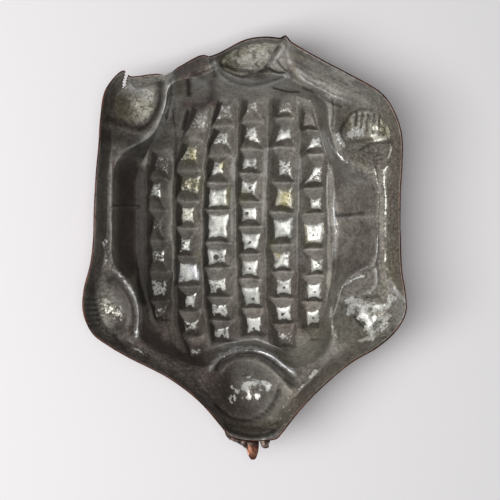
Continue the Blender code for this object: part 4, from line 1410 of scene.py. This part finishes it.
def add(tree, kind, inputs, output=0, **settings):
    """Adds one node. Each input gets a plain value or the output of another node."""
    node = tree.nodes.new("ShaderNode" + kind)
    for name, value in settings.items():
        setattr(node, name, value)
    for key, value in inputs.items():
        if isinstance(value, bpy.types.NodeSocket):
            tree.links.new(value, node.inputs[key])
        else:
            node.inputs[key].default_value = value
    return node.outputs[output]


def new_finish(name, metallic):
    """An empty finish: its tree, its shader, and the place on the object that patterns follow."""
    finish = bpy.data.materials.new(name)
    finish.use_nodes = True
    tree = finish.node_tree
    shader = tree.nodes["Principled BSDF"]
    shader.inputs["Metallic"].default_value = metallic
    return finish, tree, shader, add(tree, "TexCoord", {}, "Object")


SMOOTH = {"interpolation_type": "SMOOTHSTEP"}


def layered(tree, colour, layers):
    """Lays colours over each other. A layer is a mark, a pattern, the two values between which the
    pattern lets it through, how much of it shows at each of them, and its hex colour."""
    for mark, pattern, low, high, at_low, at_high, over in layers:
        amount = at_high
        if pattern is not None:
            amount = add(tree, "MapRange", {0: pattern, 1: low, 2: high, 3: at_low, 4: at_high}, **SMOOTH)
        if mark is not None:
            amount = add(tree, "Math", {0: mark, 1: amount}, operation="MULTIPLY")
        colour = add(tree, "Mix", {0: amount, 6: colour, 7: linear(over)}, 2, data_type="RGBA")
    return colour


print("red of #b87333 as a linear value:", round(linear("#b87333")[0], 3))

# %% [markdown]
# ## Tarnished tin
#
# The inside was tinned by wiping molten tin over the hot copper. New tin is bright, but after a
# century it is a dull brown-grey skin of oxide, and only where a spoon or a cloth rubs it does
# metal show. That is what the eye gets here: a matt ground with blotches as wide as a thumb, grain
# like fine sand, and small patches that catch the light. Tin's real grain is finer than a pixel of
# the picture, so it is drawn about half a millimetre wide to show at all.
#
# The marks that the tracing left on the sheet say where each layer goes, and noise breaks them up.
# Beside tarnish and wear, they carry painted shade on faces turned from the lamp, and painted light
# and highlights on those turned to it.

# %% Patterns and marks of the lining
lining, tree, shader, where = new_finish("tarnished_tin", 0.4)
# Each pattern: width in mm, detail, roughness and swirl of its noise.
PATTERNS = {"blotches": (33.3, 5.0, 0.6, 0.0), "stains": (6.67, 5.0, 0.7, 0.4),
            "specks": (2.38, 2.0, 0.65, 0.8), "sand": (1.61, 3.0, 0.7, 0.0), "grit": (0.667, 2.0, 0.6, 0.0)}
pattern = {}
for name, (size_mm, detail, roughness, swirl) in PATTERNS.items():
    pattern[name] = add(tree, "TexNoise", {"Vector": where, "Scale": 1.0 / (size_mm * MM), "Detail": detail,
                                           "Roughness": roughness, "Distortion": swirl})
marks = {name: add(tree, "Attribute", {}, "Fac", attribute_name=name) for name in (*on_table, "grain")}
print("lining patterns:", ", ".join(pattern), "- marks:", ", ".join(marks))

# %% [markdown]
# ## Ground and bright metal of the lining
#
# The ground is the oxide with its stains. The bright metal is the same tin, polished, with a
# yellow or bluish cast where the oxide is thin. A layer names its mark, its pattern and the values
# between which the pattern lets it through.

# %% Colours of the lining
blotches, stains, specks, sand, grit = pattern.values()
# The rust and soot layers also lay painted shade, and the haze layer painted light.
GROUND_LAYERS = (
    (None, blotches, 0.35, 0.65, 0.0, 1.0, "#959087"),
    (None, stains, 0.35, 0.6, 1.0, 0.0, "#6b665f"),
    (marks["olive"], None, 0.0, 0.0, 0.0, 0.8, "#7d795c"),
    (marks["rust"], None, 0.0, 0.0, 0.0, 0.85, "#584541"),
    (marks["haze"], stains, 0.25, 0.6, 0.5, 1.0, "#b5b4b1"),
    (marks["grain"], sand, 0.5, 0.72, 0.0, 0.7, "#bcb9ae"),
    (marks["grain"], sand, 0.52, 0.3, 0.0, 0.85, "#35332f"),
    (marks["grain"], grit, 0.5, 0.3, 0.0, 0.5, "#494541"),
    (marks["crust"], specks, 0.5, 0.64, 0.0, 1.0, "#a9a898"),
    (marks["crust"], specks, 0.5, 0.36, 0.0, 1.0, "#453f35"),
    (marks["soot"], None, 0.0, 0.0, 0.0, 0.92, "#221d1a"),
)
# The tin mark also lays painted highlights along creases and folds, and the haze mark painted light.
BRIGHT_LAYERS = (
    (None, stains, 0.34, 0.62, 0.0, 1.0, "#e2e2dc"),
    (None, marks["tin"], 1.08, 1.28, 0.0, 1.0, "#f4f4ef"),
    (marks["olive"], None, 0.0, 0.0, 0.0, 0.7, "#a89d62"),
    (marks["haze"], None, 0.0, 0.0, 0.0, 0.5, "#c6c6d2"),
)
ground = layered(tree, linear("#79746c"), GROUND_LAYERS)
bright = layered(tree, linear("#969892"), BRIGHT_LAYERS)
print(len(GROUND_LAYERS), "layers on the oxide and", len(BRIGHT_LAYERS), "on the rubbed tin")

# %% [markdown]
# ## Where the tin still shines
#
# Rubbing never wears a clean edge. So noise is added to the mark before it is cut off, and the
# patches end in islands and speckles. Old crust covers them again in places.

# %% Shining patches
SHINES_FROM, SHINES_FULLY = 0.42, 0.72
RAGGED, SPECKLED = 0.65, 1.1
RUBBED_FROM, RUBBED_FULLY = 0.08, 0.3
# Crust covers the shine by this share where the sand is below the first value, and not from the second.
CRUST_COVERS, CRUSTY_BELOW, CLEAR_FROM = 0.8, 0.44, 0.52
worn_mark = marks["tin"]
for uneven, strength in ((stains, RAGGED), (sand, SPECKLED)):
    spread = add(tree, "MapRange", {0: uneven, 1: 0.0, 2: 1.0, 3: -strength, 4: strength}, clamp=False)
    worn_mark = add(tree, "Math", {0: worn_mark, 1: spread}, operation="ADD")
shining = add(tree, "MapRange", {0: worn_mark, 1: SHINES_FROM, 2: SHINES_FULLY}, **SMOOTH)
rubbed_place = add(tree, "MapRange", {0: marks["tin"], 1: RUBBED_FROM, 2: RUBBED_FULLY}, **SMOOTH)
crusted = add(tree, "MapRange", {0: sand, 1: CRUSTY_BELOW, 2: CLEAR_FROM, 3: CRUST_COVERS, 4: 0.0}, **SMOOTH)
crusted = add(tree, "Math", {0: marks["crust"], 1: crusted}, operation="MULTIPLY")
uncrusted = add(tree, "Math", {0: 1.0, 1: crusted}, operation="SUBTRACT")
for share in (rubbed_place, uncrusted):
    shining = add(tree, "Math", {0: shining, 1: share}, operation="MULTIPLY")
print("tin shines from a mark of", SHINES_FROM, "- uneven by", RAGGED, "in stains and", SPECKLED, "in sand")

# %% [markdown]
# ## Colour, roughness and bump of the lining
#
# The shining patches are also the smoother ones: rubbed tin scatters light less than its oxide. The
# stains and the sand stand a little proud, which a bump gives without more points.

# %% Colour, roughness and bump
DULL, RUBBED = 0.6, 0.4
BUMP_STRENGTH, BUMP_HEIGHT = 0.45, 0.4
colour = add(tree, "Mix", {0: shining, 6: ground, 7: bright}, 2, data_type="RGBA")
sheen = add(tree, "MapRange", {0: shining, 3: DULL, 4: RUBBED}, **SMOOTH)
relief = add(tree, "Math", {0: stains, 1: sand}, operation="ADD")
bump = add(tree, "Bump", {"Height": relief, "Strength": BUMP_STRENGTH, "Distance": BUMP_HEIGHT * MM})
for socket, value in (("Base Color", colour), ("Roughness", sheen), ("Normal", bump)):
    tree.links.new(value, shader.inputs[socket])
print(lining.name, "has", len(tree.nodes), "nodes")

# %% [markdown]
# ## Copper outside and along the edge
#
# The outside is bare sheet copper, beaten and then left to brown. It is real metal, so fully
# metallic, and its sheen changes with darker and lighter clouds. The rim was rubbed against shelves
# and cloths, and shows as a thin dark red line round the whole mould. Clouds are drawn from 7 mm to
# 29 mm wide, as on real pans. All bare metal follows one recipe, so a function makes it.


# %% Copper finishes
CLOUD_NOISE = {"Detail": 5.0, "Roughness": 0.65, "Distortion": 0.4}
SHEEN_FROM, SHEEN_TO = 0.3, 0.7


def bare_metal(name, metallic, base, clouds, satin, ends=()):
    """A metal with clouds of other colours on it, and perhaps ends of another colour.

    A cloud is a size in mm, the two values of its noise between which it appears, and a colour. An
    end is the y in mm where it begins, the y where it is full, and a colour.
    """
    finish, tree, shader, where = new_finish(name, metallic)
    skin = linear(base)
    for size_mm, low, high, colour in clouds:
        noise = add(tree, "TexNoise", {"Vector": where, "Scale": 1.0 / (size_mm * MM), **CLOUD_NOISE})
        skin = layered(tree, skin, [(None, noise, low, high, 0.0, 1.0, colour)])
    for low, high, colour in ends:
        along = add(tree, "SeparateXYZ", {0: where}, "Y")
        skin = layered(tree, skin, [(None, along, low * MM, high * MM, 0.0, 1.0, colour)])
    sheen = add(tree, "MapRange", {0: noise, 1: SHEEN_FROM, 2: SHEEN_TO, 3: satin[0], 4: satin[1]}, **SMOOTH)
    tree.links.new(skin, shader.inputs["Base Color"])
    tree.links.new(sheen, shader.inputs["Roughness"])
    return finish


COPPER_CLOUDS = ((28.6, 0.35, 0.65, "#a46a54"), (6.67, 0.42, 0.66, "#4a3028"))
EDGE_CLOUDS = ((11.1, 0.36, 0.64, "#6d463a"),)
copper = bare_metal("aged_copper", 1.0, "#70463a", COPPER_CLOUDS, (0.32, 0.5))
edge_copper = bare_metal("worn_copper_edge", 1.0, "#33221d", EDGE_CLOUDS, (0.42, 0.55))
for finish in (lining, copper, edge_copper):
    sheet.data.materials.append(finish)
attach(sheet, "root")
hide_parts("mould_body")
print("the sheet has", len(sheet.data.materials), "finishes")

# %% [markdown]
# ## Lofted bars and lumps
#
# The small parts at the head end are a bent strap and two lumps of solder. All three are ovals
# pushed along a path, which is called a loft. A helper joins the ovals into a closed skin and
# roughens it a little, because a cast lump or a filed strap is never quite even.


# %% Lofts
ROUND_SIDES = 28
SQUARENESS = 0.8
BUMP_SIZE, BUMP_SEEDS = 1.6, (40, 41, 42)


def lofted(name, sections, bumps):
    """A closed skin over oval sections: centre, half size along u, half size along v, u and v axes."""
    turn = np.arange(ROUND_SIDES) * 2.0 * math.pi / ROUND_SIDES
    round_u, round_v = (np.sign(wave) * np.abs(wave) ** SQUARENESS for wave in (np.cos(turn), np.sin(turn)))
    points = np.concatenate([
        np.array(centre) + np.outer(half_u * round_u, u_axis) + np.outer(half_v * round_v, v_axis)
        for centre, half_u, half_v, u_axis, v_axis in sections])
    across, up = points[:, 0] + points[:, 2], points[:, 1] - points[:, 2]
    points += bumps * np.stack([waviness(across, up, BUMP_SIZE, seed) for seed in BUMP_SEEDS], axis=-1)
    faces = []
    for ring in range(0, (len(sections) - 1) * ROUND_SIDES, ROUND_SIDES):
        for k in range(ROUND_SIDES):
            n = (k + 1) % ROUND_SIDES
            faces.append((ring + k, ring + n, ring + ROUND_SIDES + n, ring + ROUND_SIDES + k))
    last = (len(sections) - 1) * ROUND_SIDES
    faces += [tuple(range(ROUND_SIDES))[::-1], tuple(range(last, last + ROUND_SIDES))]
    return mesh_object(name, points * MM, faces)


print("an oval has", ROUND_SIDES, "points")

# %% [markdown]
# ## The hanging strap
#
# The mould hangs on a wall by a strip of copper at the head end. It comes out from under the rim,
# bends over into an eye and goes back below. A smith bends it round a nail, so its path is a
# straight run, a half circle and a straight run back. The strip is widest where it is soldered.

# %% Side view of the strap
STRAP_TIP, STRAP_TOP = -117.2, 49.6
HALF_THICK = 0.6
EYE_RADIUS = 3.0
STRAP_BOTTOM = STRAP_TOP - 2.0 * EYE_RADIUS
EYE_TURNS = np.radians(np.arange(70.0, -91.0, -20.0))
UPPER_RUN = [(-106.0, 48.8), (-106.8, 49.3)]
UPPER_RUN += [(along, STRAP_TOP) for along in (-107.6, -109.0, -110.5, -112.4)]
LOWER_RUN = [(-110.0, STRAP_BOTTOM), (-107.0, STRAP_BOTTOM + 0.4), (-104.6, STRAP_BOTTOM + 0.6)]
eye_bend = [(STRAP_TIP + HALF_THICK + EYE_RADIUS * (1.0 - math.cos(turn)),
             STRAP_TOP - EYE_RADIUS * (1.0 - math.sin(turn))) for turn in EYE_TURNS]
path = UPPER_RUN + eye_bend + LOWER_RUN
print("the strap's path has", len(path), "points and an eye", 2.0 * EYE_RADIUS, "mm high")

# %% [markdown]
# ## Width of the strap
#
# The strap is narrow at the tip of the eye, reaches its full width within a few millimetres, and
# spreads into two feet where it meets the rim. An oval is laid across the path at each point, with
# one axis along x and the other square to the path.

# %% Hanging strap
STRAP_X, SLANT, SLANT_FROM = 3.3, 0.04, -110.0
TIP_HALF_WIDTH, WIDER, WIDENING = 0.5, 2.8, 7.5
FOOT_SPREAD, FOOT_ALONG = 1.1, (-108.0, -103.5)
STRAP_BUMPS = 0.12
sections = []
for k, (along, up) in enumerate(path):
    before, after = np.array(path[max(k - 1, 0)]), np.array(path[min(k + 1, len(path) - 1)])
    way = (after - before) / np.linalg.norm(after - before)
    half_width = TIP_HALF_WIDTH + WIDER * min(1.0, math.sqrt(max(0.0, (along - STRAP_TIP) / WIDENING)))
    half_width += FOOT_SPREAD * float(smooth_step(*FOOT_ALONG, along))
    centre = (STRAP_X - SLANT * (along - SLANT_FROM), along, up)
    sections.append((centre, half_width, HALF_THICK, (1.0, 0.0, 0.0), (0.0, -way[1], way[0])))
strap = lofted("hanging_strap", sections, STRAP_BUMPS)
print(strap.name, "has", len(strap.data.polygons), "faces")

# %% [markdown]
# ## The solder
#
# Soft solder holds the strap. One lump creeps along the rim to the left of it, so its path follows
# the rim. Solder sags while it is liquid, so the lump is rounded at its end and thickest where the
# most metal ran together, at the strap.

# %% Solder left of the strap
LUMP_X, LUMP_SECTIONS = (-12.6, 0.4), 16
RIM_NEAR_X = (-15.0, -12.5, -9.5, -4.0, 2.0, 8.0, 14.5)
RIM_NEAR_Y = (-97.0, -101.0, -104.0, -105.2, -105.8, -105.7, -105.2)
LUMP_TOP, LUMP_SAG = 48.6, 0.3
LUMP_UNDER_RIM = 0.4
LUMP_REACH, REACH_GROWS, REACH_CURVE = 1.1, 2.2, 3
LUMP_HALF_HIGH, HEIGHT_GROWS = 1.5, 0.8
LEFT_FLATNESS, LEFT_BUMPS = 6, 0.35
THINNEST_END = 0.02


def end_swell(t, flatness):
    """Rounds both ends of a lump: close to 0 at t = 0 and 1, and 1 between."""
    return math.sqrt(max(THINNEST_END, 1.0 - (2.0 * t - 1.0) ** flatness))


sections = []
for k, x_now in enumerate(np.linspace(*LUMP_X, LUMP_SECTIONS)):
    t = k / (LUMP_SECTIONS - 1)
    swell = end_swell(t, LEFT_FLATNESS)
    reach = (LUMP_REACH + REACH_GROWS * t ** REACH_CURVE) * (swell if t < 0.5 else 1.0)
    rim_y = float(np.interp(x_now, RIM_NEAR_X, RIM_NEAR_Y))
    centre = (x_now, rim_y + LUMP_UNDER_RIM - reach, LUMP_TOP - LUMP_SAG * t)
    half_high = (LUMP_HALF_HIGH + HEIGHT_GROWS * t) * swell
    sections.append((centre, reach, half_high, (0.0, 1.0, 0.0), (0.0, 0.0, 1.0)))
solder_left = lofted("solder_left", sections, LEFT_BUMPS)
print(solder_left.name, "has", len(solder_left.data.polygons), "faces")

# %% [markdown]
# ## The drop of solder
#
# To the right of the strap a drop hangs from the rim. It is a short straight loft that gets thinner
# and sinks a little towards its end.

# %% Solder right of the strap
DROP_SECTIONS = 12
DROP_START, DROP_RUN = (9.9, -105.3, 48.6), (0.4, -5.7, -0.5)
# Half width and half height at the start, and what the run adds to them.
DROP_HALVES = ((3.0, -1.2), (2.1, -0.6))
RIGHT_FLATNESS, RIGHT_BUMPS = 4, 0.3
sections = []
for t in np.linspace(0.0, 1.0, DROP_SECTIONS):
    swell = end_swell(t, RIGHT_FLATNESS)
    centre = [start + run * t for start, run in zip(DROP_START, DROP_RUN)]
    half_wide, half_high = ((start + run * t) * swell for start, run in DROP_HALVES)
    sections.append((centre, half_wide, half_high, (1.0, 0.0, 0.0), (0.0, 0.0, 1.0)))
solder_right = lofted("solder_right", sections, RIGHT_BUMPS)
print(solder_right.name, "has", len(solder_right.data.polygons), "faces")

# %% [markdown]
# ## Rubbed strap and dull solder
#
# Where the strap hung on its nail the copper was rubbed bright, so its clouds are lighter and its
# sheen is sharper than on the sheet. It darkens towards the rim, and its tip is painted a deep red
# as shade, where it curves away from the light. The solder is a mix of tin and lead with a
# grey-brown skin, duller than copper and only half metallic to the eye.

# %% Finishes of the strap and the solder
STRAP_CLOUDS, SOLDER_CLOUDS = ((3.85, 0.4, 0.62, "#a5735c"),), ((3.33, 0.42, 0.6, "#8a7a70"),)
# The second end, the deep red tip, is painted shade.
STRAP_ENDS = ((-110.5, -108.0, "#352823"), (-115.5, -117.0, "#4a2119"))
rubbed = bare_metal("rubbed_copper_strap", 0.75, "#4b2a1f", STRAP_CLOUDS, (0.45, 0.28), STRAP_ENDS)
lead = bare_metal("dull_solder_lump", 0.5, "#3a2c26", SOLDER_CLOUDS, (0.6, 0.45))
for piece, node_name, slot_name, finish in ((strap, "hanging_loop", "rubbed_copper", rubbed),
                                            (solder_left, "loop_solder_left", "dull_solder", lead),
                                            (solder_right, "loop_solder_right", "dull_solder", lead)):
    piece.data.materials.append(finish)
    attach(piece, "root")
    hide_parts(node_name)
    print(piece.name, "takes the place of", node_name)

# %% [markdown]
# ## The table
#
# The mould lies on white card. It is a plain sheet here too, a very pale grey with a hint of
# unevenness, so wide that no edge comes into any view. White comes from this colour, not from
# more light, and the mould keeps its soft shadow on it.

# %% Table
TABLE_SIZE = 4.0
CARD_ROUGHNESS = 0.7
paper, tree, shader, where = new_finish("white_table", 0.0)
faint = add(tree, "TexNoise", {"Vector": where, "Scale": 3.0, "Detail": 2.0, "Roughness": 0.5})
card = add(tree, "Mix", {0: faint, 6: linear("#e9e8ea"), 7: linear("#edecee")}, 2, data_type="RGBA")
tree.links.new(card, shader.inputs["Base Color"])
shader.inputs["Roughness"].default_value = CARD_ROUGHNESS
bpy.ops.mesh.primitive_plane_add(size=TABLE_SIZE, location=(0.0, 0.0, 0.0))
table_top = bpy.context.object
table_top.name = "table_top"
table_top.data.materials.append(paper)
print("table", TABLE_SIZE, "m wide")

# %% [markdown]
# ## One window and the room
#
# The shadows in the photo fall to the right and are soft-edged, as from a tall window on the left.
# A single rectangular lamp, narrow and tall, gives that. The pale room sends back about a sixth as
# much light from all sides, so that no pit goes quite black.

# %% Lamp and room light
WINDOW_SIZE = (0.4, 1.1)
WINDOW_AT = (-0.50, -0.09, 1.09)
WINDOW_WATTS, ROOM_STRENGTH = 14.6, 0.17
WINDOW_TINT, ROOM_TINT = (1.0, 0.995, 0.99), (1.0, 0.98, 0.975, 1.0)
window = bpy.data.lights.new("window_left", "AREA")
window.shape = "RECTANGLE"
window.size, window.size_y = WINDOW_SIZE
window.energy = WINDOW_WATTS
window.color = WINDOW_TINT
lamp = bpy.data.objects.new("window_left", window)
bpy.context.scene.collection.objects.link(lamp)
lamp.location = WINDOW_AT
lamp.rotation_euler = (-lamp.location).to_track_quat("-Z", "Y").to_euler()

room = bpy.data.worlds.new("room_light")
room.use_nodes = True
background = room.node_tree.nodes["Background"]
background.inputs["Color"].default_value = ROOM_TINT
background.inputs["Strength"].default_value = ROOM_STRENGTH
bpy.context.scene.world = room
bpy.context.scene.view_settings.view_transform = "Standard"
print("lamp", WINDOW_WATTS, "W at", WINDOW_AT)

# %% [markdown]
# ## The camera
#
# The camera stands where the measuring camera stood, with the lens that gives the same scale. Its
# axes are written straight into its matrix: right, up and backwards.

# %% Camera
FILM = 36.0
lens = bpy.data.cameras.new("camera")
lens.sensor_width = FILM
lens.lens = FILM * CAMERA_DISTANCE / (PICTURE * MM_PER_PIXEL)
camera = bpy.data.objects.new("camera", lens)
bpy.context.scene.collection.objects.link(camera)
eye = Vector(CAM_EYE * MM) + Vector((0.0, 0.0, RIM_HEIGHT * MM))
axes = Matrix((Vector(CAM_RIGHT), Vector(CAM_UP), Vector(-CAM_FORWARD))).transposed().to_4x4()
camera.matrix_world = Matrix.Translation(eye) @ axes
bpy.context.scene.camera = camera
print("camera with a", round(lens.lens), "mm lens,", round(eye.z, 3), "m above the table")
